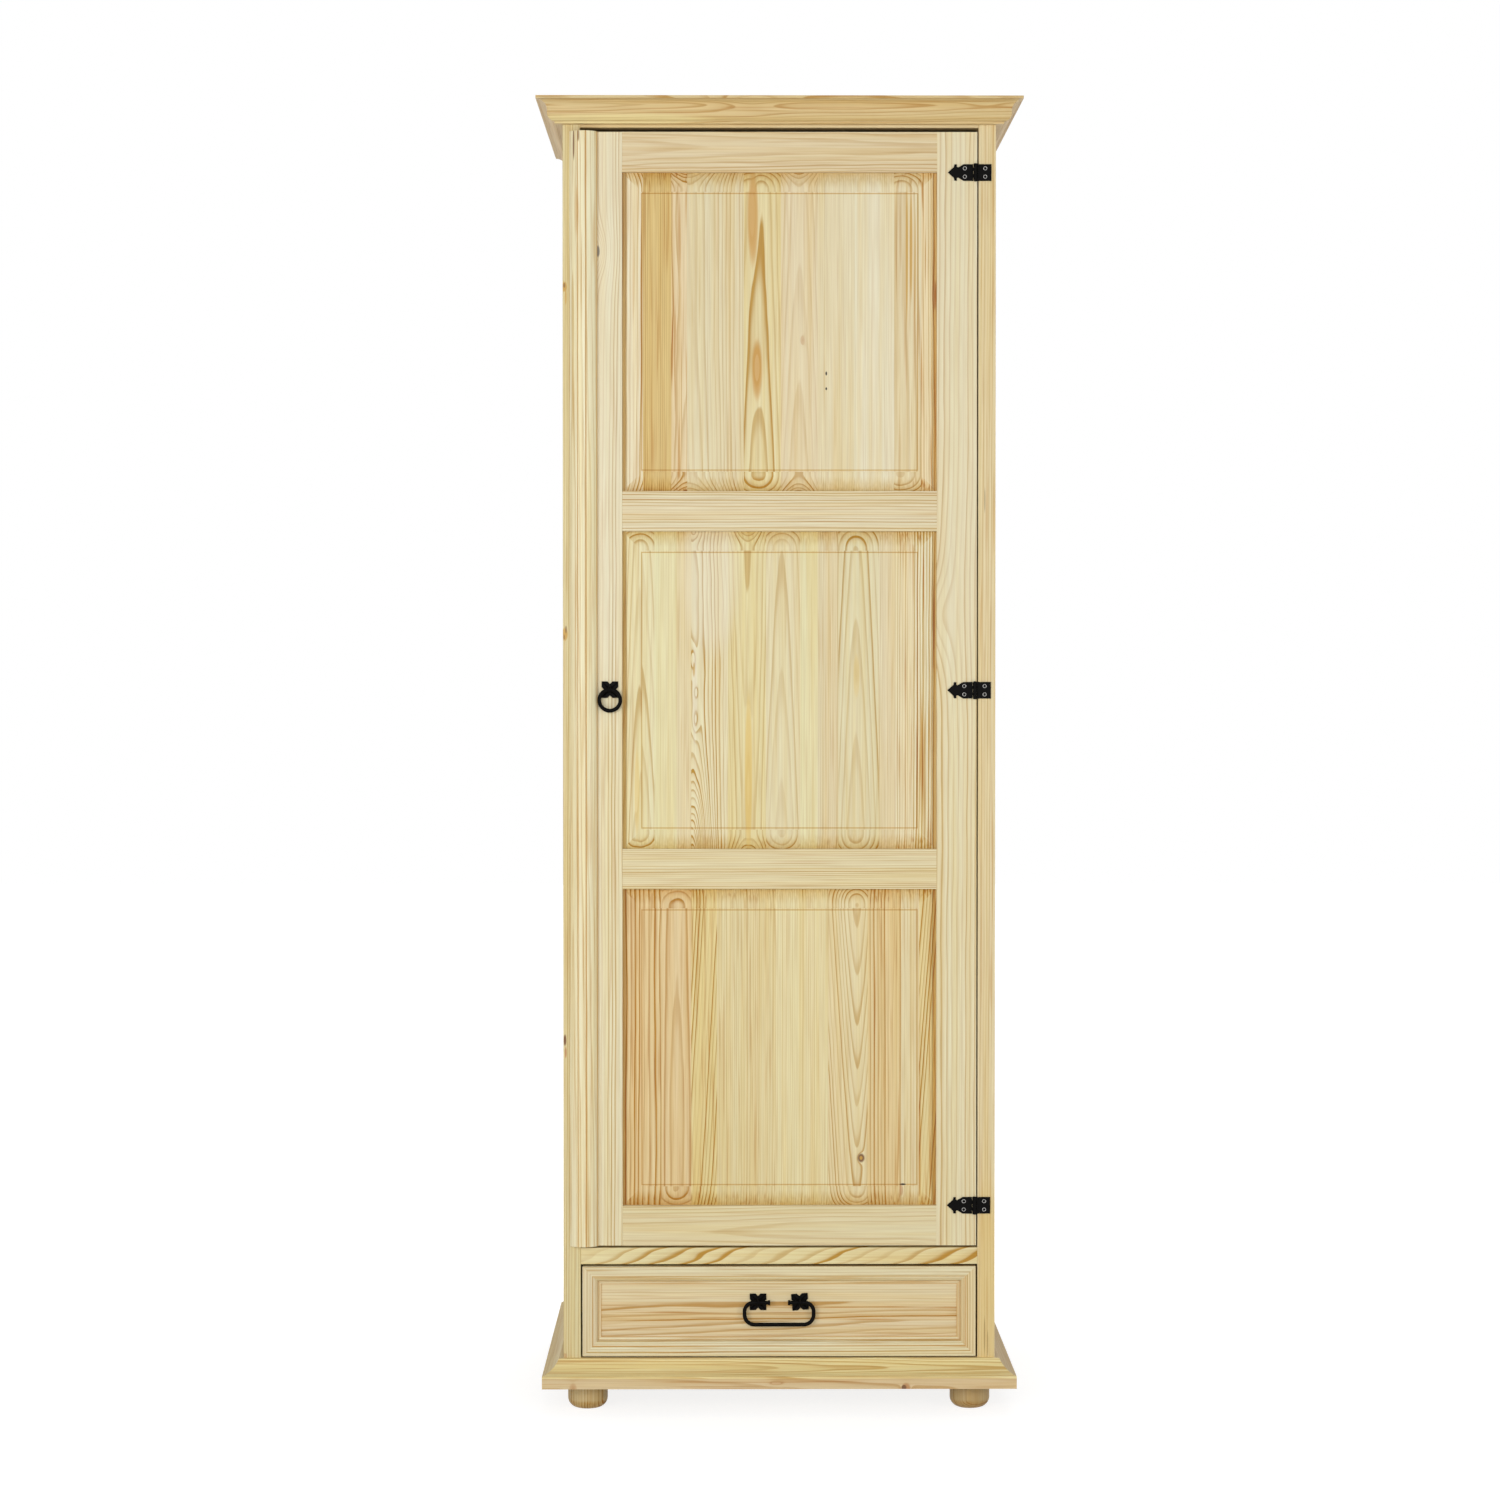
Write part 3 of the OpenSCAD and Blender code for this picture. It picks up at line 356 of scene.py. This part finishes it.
def cut_from_staves(finish, across, staves):
    """Colour and figure at a place across a panel, from ramps with a step at each joint, and its knots."""
    whole = sum(stave.width for stave in staves)
    share = across / (whole * MM) + 0.5
    cuts, more, tints, knots = [], [], [], []
    reached = 0
    for stave in staves:
        start = reached / whole
        middle = reached + stave.width / 2 - whole / 2
        pith = middle + stave.figure.aside
        held = {name: (value - low) / (high - low) for name, value, (low, high)
                in zip(Figure._fields, stave.figure._replace(aside=pith), RANGES)}
        cuts.append((start, (held["aside"], held["behind"], held["taper"], held["ring"])))
        more.append((start, (held["late"], held["wander"], held["streaks"], 1.0)))
        tints.append((start, paint(*stave.tint)))
        knots += [knot._replace(across=middle + knot.across, limit=(middle, stave.width / 2))
                  for knot in stave.knots]
        reached += stave.width

    def look_up(stops):
        ramp = finish.node("ValToRGB", {"stops": stops}, {0: share})
        return finish.node("SeparateColor", inputs={0: ramp}), ramp["Alpha"]

    def between(value, name):
        low, high = getattr(RANGES, name)
        return low + value * (high - low)

    cut, ring = look_up(cuts)
    rest, _ = look_up(more)
    figure = Figure(between(cut[0], "aside"), between(cut[1], "behind"), between(cut[2], "taper"),
                    between(ring, "ring"), between(rest[0], "late"), between(rest[1], "wander"),
                    between(rest[2], "streaks"))
    return finish.node("ValToRGB", {"stops": tints}, {0: share}), figure, knots


def glued_pine(node, along, deep, staves, seed, field=None):
    """The finish of a panel glued up from staves, listed from the left to the right or from the bottom up."""
    finish = Finish("glued_" + node)
    place = place_in_board(finish, node, along, deep)
    tint, figure, knots = cut_from_staves(finish, place[0], staves)
    growth = rings_round_the_pith(finish, place, figure, seed)
    growth, stains_and_shade = past_knots(finish, place, growth, knots, wide_axis(along, deep))
    end = across_the_grain(finish, along)
    colour, height = wood_colour(finish, place, growth, end, tint, figure, seed, stains_and_shade)
    if field:
        # Dust and painted shade darken the step round the field and the channels along the stiles
        colour = finish.deepened(corners_round_the_field(finish, place, field), colour, SHADED_CORNER)
    return planed(finish, colour, height)


def corners_round_the_field(finish, place, field):
    """1 in the fine step around the raised field and in the channels along the stiles, where dust and painted
    shade darken the wood.
    """
    across, _, lengthwise = place
    from_middle = finish.math("ABSOLUTE", across)
    beside = from_middle - field.half_width * MM
    above = finish.math("ABSOLUTE", lengthwise) - field.half_height * MM
    off = finish.math("ABSOLUTE", finish.math("MAXIMUM", beside, above) - 0.3 * MM)
    step = 1 - finish.smooth(off, 0.4 * MM, 1.3 * MM)
    channel = finish.smooth(from_middle, (field.channel - 0.3) * MM, (field.channel + 0.4) * MM)
    return finish.math("MAXIMUM", step, channel)


# The boards, one by one -------------------------------------------------------------------------

# The usual cuts: straight lines, finer ones, and flat sawn with long flames
COMBED = Figure(aside=120, behind=10, taper=4, ring=4.0, late=0.5, wander=5)
FINE = Figure(aside=160, behind=20, taper=2, ring=3.4, late=0.4, wander=4)
FLAT = Figure(aside=0, behind=40, taper=16, ring=2.5, late=0.7, wander=7)

BOARDS = {
    # node: (along, deep, tint, figure)
    "door_stile_lock": ("z", "y", (231, 223, 189), COMBED._replace(aside=90, ring=5.0, late=0.8, wander=9)),
    "door_stile_hinge": ("z", "y", (229, 220, 183),
                         COMBED._replace(ring=7.0, late=1.0, wander=16, streaks=0.15)),
    "door_rail_top": ("x", "y", (222, 206, 168), Figure(6, 34, 10, 3.6, 0.8, 14, 0.35)),
    "door_rail_upper": ("x", "y", (226, 215, 181), COMBED._replace(aside=-60, late=0.9, wander=10)),
    "door_rail_lower": ("x", "y", (226, 215, 175), COMBED._replace(ring=3.4, late=0.8)),
    "door_rail_bottom": ("x", "y", (225, 214, 174), Figure(-8, 30, -9, 3.8, 0.8, 12, 0.3)),
    "door_cover_strip": ("z", "y", (240, 233, 197), Figure(-8, 15, 5, 3.6, 0.9, 5, 0.5)),
    "post_left": ("z", "y", (221, 210, 163), COMBED._replace(aside=60, late=1.0)),
    "post_right": ("z", "y", (226, 211, 168), COMBED._replace(ring=4.4, late=0.6, streaks=0.5)),
    "side_panel_left": ("z", "x", (226, 208, 166), FLAT),
    "side_panel_right": ("z", "x", (226, 208, 166), FLAT),
    "top_rail": ("x", "y", (216, 196, 150), COMBED),
    "divider_rail": ("x", "y", (229, 216, 166), Figure(0, 0, 0, 40, 1.5, 30, 0.1)),
    "top_panel": ("x", "z", (222, 204, 160), FLAT),
    "compartment_floor": ("x", "z", (224, 206, 162), FLAT),
    "bottom_panel": ("x", "z", (222, 204, 160), FLAT),
    "back_panel": ("z", "y", (222, 204, 164), FLAT),
    "hat_shelf": ("x", "z", (225, 207, 164), FLAT),
    "shelf_cleats": ("y", "x", (222, 204, 160), COMBED),
    "cornice_front": ("x", "y", (215, 193, 141), Figure(14, 34, 22, 4.0, 1.3, 18, 0.6)),
    "cornice_left": ("y", "x", (224, 200, 150), FLAT),
    "cornice_right": ("y", "x", (224, 200, 150), FLAT),
    "plinth_left": ("y", "x", (216, 196, 138), FLAT),
    "plinth_right": ("y", "x", (196, 172, 116), FLAT),
    "foot_front_left": ("z", "y", (206, 186, 138), COMBED._replace(late=0.9)),
    "foot_front_right": ("z", "y", (196, 173, 124), FLAT._replace(aside=-14, ring=4.4, late=0.7)),
    "foot_back_left": ("z", "y", (200, 180, 138), COMBED),
    "foot_back_right": ("z", "y", (200, 180, 138), COMBED),
    "foot_blocks": ("z", "y", (215, 196, 152), COMBED),
    "drawer_runner_left": ("y", "x", (215, 196, 152), COMBED),
    "drawer_runner_right": ("y", "x", (215, 196, 152), COMBED),
    "drawer_frame_top": ("x", "y", (227, 219, 183), COMBED._replace(aside=60, late=1.0, streaks=0.7)),
    "drawer_frame_bottom": ("x", "y", (231, 226, 194),
                            COMBED._replace(aside=40, late=1.2, wander=8, streaks=0.7)),
    "drawer_frame_left": ("z", "y", (227, 216, 181), COMBED._replace(aside=40, late=0.9)),
    "drawer_frame_right": ("z", "y", (226, 211, 168), COMBED._replace(aside=40, late=1.0)),
    "drawer_side_left": ("y", "x", (224, 208, 166), FLAT),
    "drawer_side_right": ("y", "x", (224, 208, 166), FLAT),
    "drawer_back": ("x", "y", (224, 208, 166), FLAT),
    "drawer_bottom": ("x", "z", (222, 204, 164), FLAT),
}
BOARD_RINGS = {"divider_rail": rings_on_the_slant}
# Painted shade in the corners of the mouldings: of the drawer's left and bottom bars, and of its right and
# top bars. The last one is a wide painted shade on a bar's slope, which the bottom bar turns to the light.
BAR_GROOVE_SHADE = [ShadedGroove(1, 0.9, 0.75), ShadedGroove(9, 0.9, 0.5), ShadedGroove(13.5, 1.3, 0.8), ShadedGroove(7, 8, 0.1)]
FAR_BAR_GROOVE_SHADE = [groove._replace(across=-groove.across) for groove in BAR_GROOVE_SHADE]
BOARD_GROOVE_SHADE = {
    # Painted shade in the strip's two incised lines, and a painted shadow along its right edge by the stile
    "door_cover_strip": [ShadedGroove(4, 1.2, 0.85), ShadedGroove(-8, 1.0, 0.65), ShadedGroove(19.5, 1.3, 0.8)],
    "drawer_frame_left": BAR_GROOVE_SHADE, "drawer_frame_bottom": BAR_GROOVE_SHADE[:3],
    "drawer_frame_right": FAR_BAR_GROOVE_SHADE, "drawer_frame_top": FAR_BAR_GROOVE_SHADE,
}
BOARD_KNOTS = {
    "door_stile_lock": [Knot(-6, 634, 3, 9, 0, 1, RESIN), Knot(-8, 634, 26, 46, 24, 0),
                        Knot(0, 460, 90, 520, 0, 0.3, CREAMY)],
    "door_stile_hinge": [Knot(-34, 110, 40, 90, -26, 0), Knot(0, 440, 90, 480, 0, 0.25, CREAMY)],
    "door_cover_strip": [Knot(-13.5, 788, 1.4, 26, 4, 0.9), Knot(-7, 800, 1.7, 10, 3, 0.8),
                         Knot(-9, 690, 3, 40, 4, 0.5, HEART)],
    "post_left": [Knot(-10, 670, 4, 8, 4, 0.85, AMBER), Knot(-8, 655, 1.6, 12, 0, 0.6, AMBER),
                  Knot(-10, 672, 1.6, 4, 0, 0.7), Knot(-10, 168, 5, 10, 4, 0.85, AMBER),
                  Knot(-8, 175, 1.3, 6, 0, 0.75), Knot(-10.5, 164, 1.2, 4, 0, 0.6),
                  Knot(-10, -420, 2.2, 9, 4, 1), Knot(-9, -438, 1.6, 9, 0, 0.9, SMEAR),
                  Knot(-10, -879, 3, 4, 3, 0.5, SMEAR)],
    "post_right": [Knot(-2, -850, 1.2, 30, 2, 0.8), Knot(2.5, -862, 1.0, 22, 0, 0.8),
                   Knot(-3, 362, 0.9, 20, 1, 0.5), Knot(0, -800, 40, 180, 0, 0.36, GOLDEN)],
    "cornice_front": [Knot(10, -40, 14, 60, 9, 0), Knot(-8, -50, 8, 90, -5, 0), Knot(8, 290, 7, 60, 5, 0),
                      Knot(-13, -235, 9, 140, 0, 0.5, STRAW), Knot(-13, 150, 7, 240, 0, 0.3, HONEY)],
}

# The panels, stave by stave -----------------------------------------------------------------------

TOP_STAVES = [
    Stave(29, (234, 226, 196), COMBED._replace(aside=70, behind=40, late=1.2, wander=8)),
    Stave(41, (217, 192, 128), FINE._replace(late=0.9, streaks=0.6)),
    Stave(24, (227, 208, 166), Figure(15, 40, 6, 3.4, 1.3, 14, 1.0)),
    Stave(82, (225, 214, 177), Figure(-38, 40, 6, 4.2, 0.6, 8, 0.3)),
    Stave(53, (227, 214, 166), Figure(-6, -26, 20, 5.2, 1.0, 7, 0.2),
          [Knot(-13, 165, 8, 74, 8, 0.85, HEART), Knot(-7, -55, 8, 46, 7, 0.85, HEART)]),
    Stave(53, (227, 213, 177), Figure(0, 30, 22, 4.0, 0.6, 6, 0.2),
          [Knot(6, -12, 3.4, 7, 6, 0.45, SMEAR)]),
    Stave(53, (227, 216, 180), FINE._replace(late=0.3, streaks=0.2),
          [Knot(-13, -60, 1.4, 3.2, 0, 1, RESIN), Knot(-13, -82, 1.4, 2.4, 0, 1, RESIN)]),
    Stave(57, (230, 222, 192), FINE._replace(aside=-160, late=0.25, streaks=0.15)),
    Stave(40, (228, 216, 179), Figure(-8, -34, 5, 4.4, 0.9, 6, 0.6),
          [Knot(0, 110, 1.9, 110, 0, 0.85, AMBER), Knot(6, 125, 2.2, 90, 0, 0.85, AMBER),
           Knot(12, 96, 1.3, 90, 0, 0.6, AMBER)]),
    Stave(24, (236, 223, 186), COMBED._replace(aside=-80, late=1.4, wander=8, streaks=1.0),
          [Knot(8, 54, 4, 24, 3, 0.7, SMEAR)]),
]
MIDDLE_STAVES = [
    Stave(46, (229, 221, 179), Figure(2, -20, 40, 5.6, 0.7, 8, 0.4),
          [Knot(-2, -150, 4, 70, 3, 0.5, GOLDEN)]),
    Stave(31, (228, 221, 177), FINE._replace(late=0.2, streaks=0.15)),
    Stave(22, (227, 215, 175), FINE._replace(late=0.4)),
    Stave(53, (230, 221, 183), Figure(-22, 12, 20, 4.6, 1.6, 30, 0.2),
          [Knot(-23, 44, 6, 27, 8, 0), Knot(-19, -3, 5, 15, 7, 0), Knot(-20, -44, 8, 30, 9, 0),
           Knot(-27, -215, 30, 95, -44, 0), Knot(2, 170, 44, 130, 0, 0.4, CREAMY),
           Knot(-21, -5, 4, 80, 0, 0.5, CREAMY), Knot(-22, 30, 1.6, 12, 0, 0.7, AMBER)]),
    Stave(55, (227, 216, 167), Figure(3, 20, -16, 4.4, 0.7, 9, 0.3),
          [Knot(3, -120, 6, 120, 4, 0.75, GOLDEN)]),
    Stave(50, (226, 215, 175), Figure(-2, -18, 36, 6.0, 0.5, 6, 0.15)),
    Stave(24, (228, 221, 177), FINE._replace(late=0.2, streaks=0.2)),
    Stave(31, (223, 210, 171), FINE._replace(late=0.4, streaks=0.35)),
    Stave(58, (225, 216, 177), Figure(-3, -12, 42, 7.4, 0.9, 5, 0.2),
          [Knot(-2, 20, 5, 34, 3, 0.35, GOLDEN)]),
    Stave(26, (226, 214, 178), FINE._replace(late=0.35)),
    Stave(24, (232, 221, 184), FINE._replace(late=1.0, streaks=0.6)),
    Stave(35, (234, 228, 195), Figure(70, 12, 3, 4.6, 2.0, 12, 1.0)),
]
BOTTOM_STAVES = [
    Stave(56, (226, 204, 154), COMBED._replace(aside=60, ring=7.0, late=1.5, wander=18, streaks=0.6)),
    Stave(42, (225, 202, 154), Figure(2, -24, 8, 5.0, 0.8, 8, 0.4)),
    Stave(38, (226, 209, 150), Figure(90, 30, 60, 4.8, 1.6, 6, 0.7)),
    Stave(86, (225, 211, 163), FINE._replace(late=0.5, wander=8, streaks=0.5)),
    Stave(75, (229, 217, 170), FINE._replace(late=0.4, streaks=0.25)),
    Stave(58, (228, 214, 170), Figure(14, -12, -62, 4.4, 0.9, 6, 0.2),
          [Knot(20, -161, 5.5, 7, 12, 1), Knot(20, -161, 2.4, 3.2, 0, 0.9, AMBER)]),
    Stave(48, (226, 205, 154), Figure(-90, 20, 2, 5.2, 1.6, 4, 0.8)),
    Stave(27, (227, 213, 170), FINE._replace(late=0.4, streaks=0.4),
          [Knot(-10, -199.4, 5, 1.5, 0, 1, RESIN), Knot(-12, -208, 3, 9, 0, 0.6, SMEAR)]),
    Stave(25, (229, 213, 158), Figure(110, 20, 85, 5.0, 1.7, 5, 1.0)),
]
DOOR_FIELD = Field(half_width=199.3, half_height=199.3, channel=222.8)
DOOR_PANELS = {
    "door_panel_top": TOP_STAVES, "door_panel_middle": MIDDLE_STAVES, "door_panel_bottom": BOTTOM_STAVES,
}
DRAWER_STAVES = [
    Stave(30, (224, 206, 166), Figure(24, 40, 26, 4.4, 0.8, 14, 0.5)),
    Stave(28, (223, 202, 157), Figure(20, 44, 12, 4.0, 1.5, 10, 1.0)),
    Stave(34, (227, 214, 176), FINE._replace(streaks=0.3)),
]
PLINTH_STAVES = [
    Stave(15, (219, 196, 152), Figure(-10, 40, 10, 4.4, 0.7, 12, 0.6),
          [Knot(-7, 183, 9, 7, 6, 0.85, SMEAR), Knot(-5, 180, 4, 4, 0, 1),
           Knot(-8, -298, 10, 6, 4, 0.5, SMEAR), Knot(1, -5, 3, 12, 5, 0.3, SMEAR)]),
    Stave(25, (235, 221, 165), Figure(-22, 40, 10, 4.2, 0.9, 16, 0.5)),
]


def dress(node, material):
    """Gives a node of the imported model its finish."""
    for slot in nodes[node].material_slots:
        slot.material = material


# The last number is a seed, from which the noise of a board follows
for count, (node, (along, deep, tint, figure)) in enumerate(BOARDS.items()):
    dress(node, pine(node, along, deep, tint, figure, 1.7 * count + 0.3, BOARD_KNOTS.get(node, ()),
                     BOARD_RINGS.get(node, rings_round_the_pith), BOARD_GROOVE_SHADE.get(node, ())))
for count, (node, staves) in enumerate(DOOR_PANELS.items()):
    dress(node, glued_pine(node, "z", "y", staves, 3.1 * count + 0.7, DOOR_FIELD))
dress("drawer_front_panel", glued_pine("drawer_front_panel", "x", "y", DRAWER_STAVES, 5.3))
dress("plinth_front", glued_pine("plinth_front", "x", "y", PLINTH_STAVES, 8.1))


# Iron and steel -------------------------------------------------------------------------------

def black_iron():
    """Forged iron, blackened and waxed."""
    finish = Finish("blackened_iron")
    hammered = finish.grit(260.0)
    grain = finish.grit(1500.0)
    return finish.surface(Base_Color=(0.0025, 0.0022, 0.002, 1.0), Roughness=0.38 + 0.16 * grain,
                          Specular_IOR_Level=0.05, Normal=finish.bump(hammered * 0.8 + grain * 0.2, 0.0003))


def bright_steel():
    """Zinc-plated steel; it also makes the bright rings on the screw heads, which are a painted highlight."""
    finish = Finish("bright_steel")
    return finish.surface(Base_Color=(0.44, 0.43, 0.41, 1.0), Metallic=1.0,
                          Roughness=0.30 + 0.18 * finish.grit(900.0))


def brown_plastic():
    """The moulded housing of the magnet."""
    finish = Finish("brown_plastic")
    grained = finish.grit(2200.0)
    return finish.surface(Base_Color=(0.09, 0.045, 0.022, 1.0), Roughness=0.42 + 0.14 * grained,
                          Normal=finish.bump(grained, 0.00003))


def ring(form, centre, radius, wire, around=32, section=10):
    """Adds a ring of round wire to a mesh under construction, lying in an upright plane across the front."""
    loops = []
    for step in range(around):
        turn = 2 * math.pi * step / around
        out = Vector((math.cos(turn), 0, math.sin(turn)))
        loop = []
        for part in range(section):
            angle = 2 * math.pi * part / section
            offset = out * (radius + wire * math.cos(angle)) + Vector((0, wire * math.sin(angle), 0))
            loop.append(form.verts.new(centre + offset))
        loops.append(loop)
    for here, there in zip(loops, loops[1:] + loops[:1]):
        for a, b in zip(range(section), [*range(1, section), 0]):
            form.faces.new((here[a], here[b], there[b], there[a]))


SCREW_RISE = 0.006       # from the middle of a hinge to a screw
HEAD_RADIUS = 0.0028     # of the domed heads
# The ring of bright steel that paints the highlight round each screw head
RIM_RADIUS = 0.0024
RIM_WIRE = 0.0004
RIM_DROP = 0.00075       # from the crown of a head down to the middle of its rim


def screw_heads(node):
    """The crowns of the screws of three hinges, two to a hinge, one column."""
    low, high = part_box(node)
    middle = (low + high) / 2
    edge = HEAD_RADIUS + SCREW_RISE
    for hinge in (low.z + edge, middle.z, high.z - edge):
        for rise in (-SCREW_RISE, SCREW_RISE):
            yield Vector((middle.x, low.y, hinge + rise))


def screw_rim_highlights(metal):
    """A ring of bright steel round each hinge screw, on the door's leaves and on the post's: a painted
    highlight on the edge of its domed head.
    """
    for node, body in (("hinge_door_screws", "door"), ("hinge_post_screws", "carcass")):
        mesh = bpy.data.meshes.new("highlight_rims_" + node)
        form = bmesh.new()
        for crown in screw_heads(node):
            ring(form, crown + Vector((0, RIM_DROP, 0)), RIM_RADIUS, RIM_WIRE)
        form.to_mesh(mesh)
        form.free()
        mesh.polygons.foreach_set("use_smooth", [True] * len(mesh.polygons))
        mesh.materials.append(metal)
        piece = bpy.data.objects.new("highlight_rims_" + node, mesh)
        bpy.context.scene.collection.objects.link(piece)
        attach(piece, body)


iron = black_iron()
steel = bright_steel()
for node in ("hinge_post_leaves", "hinge_door_leaves", "hinge_pins", "ring_rosette", "ring_eye", "door_ring",
             "bail_rosettes", "bail_eyes", "drawer_bail", "hinge_post_screws", "hinge_door_screws"):
    dress(node, iron)
for node in ("catch_plate", "hanging_rail", "rail_sockets"):
    dress(node, steel)
dress("catch_magnet", brown_plastic())
# Painted highlights: bright steel rings on the domed screw heads
screw_rim_highlights(steel)


# Eased edges ----------------------------------------------------------------------------------

EASED_WIDTH = 0.0006
SHARP_EDGE = math.radians(40)
SAME_POINT = 0.000001    # corners of the mesh that lie closer than this are one


def ease_edges(node):
    """Takes the sharpness off the edges of a board, as sandpaper does."""
    weld = nodes[node].modifiers.new("joined", "WELD")
    weld.merge_threshold = SAME_POINT
    eased = nodes[node].modifiers.new("eased", "BEVEL")
    eased.limit_method = "ANGLE"
    eased.angle_limit = SHARP_EDGE
    eased.width = EASED_WIDTH
    eased.segments = 2
    eased.harden_normals = True


for node in ("door_stile_lock", "door_stile_hinge", "door_rail_top", "door_rail_upper", "door_rail_lower",
             "door_rail_bottom", "post_left", "post_right", "divider_rail", "top_rail", "hat_shelf"):
    ease_edges(node)


# Studio ---------------------------------------------------------------------------------------

FLOOR_REACH = 12.0                # from the middle of the floor to its sides
AROUND = 0.33                     # strength of the light from all round
LIT_POINT = (0.0, -0.25, 0.95)    # what the lamps look at: the middle of the door


def seen_by_the_eye(finish):
    """1 for rays from the camera, from gloss and through glass, 0 for the light that falls on things."""
    path = finish.node("LightPath", output="Is Camera Ray")
    seen = finish.math("MAXIMUM", path, path["Is Glossy Ray"])
    return finish.math("MAXIMUM", seen, path["Is Transmission Ray"])


def floor():
    """A floor that is white to the eye and keeps the shadow near the feet."""
    far = FLOOR_REACH
    mesh = bpy.data.meshes.new("floor")
    mesh.from_pydata([(-far, -far, 0), (far, -far, 0), (far, far, 0), (-far, far, 0)], [], [(0, 1, 2, 3)])
    plane = bpy.data.objects.new("floor", mesh)
    bpy.context.scene.collection.objects.link(plane)
    finish = Finish("pale_floor")
    seen = seen_by_the_eye(finish)
    matt = finish.node("BsdfDiffuse", inputs={"Color": (0.86, 0.86, 0.86, 1.0)})
    white = finish.node("Emission", inputs={"Color": (1, 1, 1, 1), "Strength": 1.35})
    place = finish.node("TexCoord", output="Object")
    from_middle = finish.node("VectorMath", {"operation": "LENGTH"}, {0: place}, "Value")
    share = seen * (0.62 + 0.38 * finish.smooth(from_middle, 0.35, 1.0))
    finish.end_in(finish.node("MixShader", inputs={0: share, 1: matt, 2: white}))
    mesh.materials.append(finish.material)


def surroundings():
    """White all round: as bright as the paper of a catalogue to the eye, softer as a light."""
    finish = Finish("studio", "worlds", "OutputWorld")
    bpy.context.scene.world = finish.material
    strength = AROUND + (1 - AROUND) * seen_by_the_eye(finish)
    finish.end_in(finish.node("Background", inputs={"Color": (1, 1, 1, 1), "Strength": strength}))


def aim(thing, at):
    """Turns a lamp or the camera towards a point."""
    thing.rotation_euler = (Vector(at) - thing.location).to_track_quat("-Z", "Y").to_euler()


def lamp(name, place, width, height, power):
    """A soft box that looks at the middle of the door, and that the camera doesn't see."""
    light = bpy.data.lights.new(name, "AREA")
    light.shape = "RECTANGLE"
    light.size = width
    light.size_y = height
    light.energy = power
    thing = bpy.data.objects.new(name, light)
    bpy.context.scene.collection.objects.link(thing)
    thing.location = place
    aim(thing, LIT_POINT)
    thing.visible_camera = False


def camera():
    """Looks at the front from about the middle of its height, a little to the left."""
    lens = bpy.data.cameras.new("camera")
    lens.lens = 83.55
    lens.sensor_width = 36.0
    lens.shift_y = -0.0143
    thing = bpy.data.objects.new("camera", lens)
    bpy.context.scene.collection.objects.link(thing)
    thing.location = (-0.0741, -5.303, 1.08)
    aim(thing, (-0.0423, -0.263, 0.9917))
    bpy.context.scene.camera = thing


bpy.context.scene.view_settings.view_transform = "Standard"
camera()
floor()
surroundings()
lamp("lamp_left", (-2.4, -3.8, 1.2), 1.6, 2.2, 48)
lamp("lamp_right", (2.6, -3.6, 1.2), 1.6, 2.2, 26)
lamp("lamp_front", (-0.5, -5.2, 1.7), 2.4, 1.6, 55)
lamp("lamp_back", (0.6, 4.2, 3.4), 2.4, 1.6, 60)
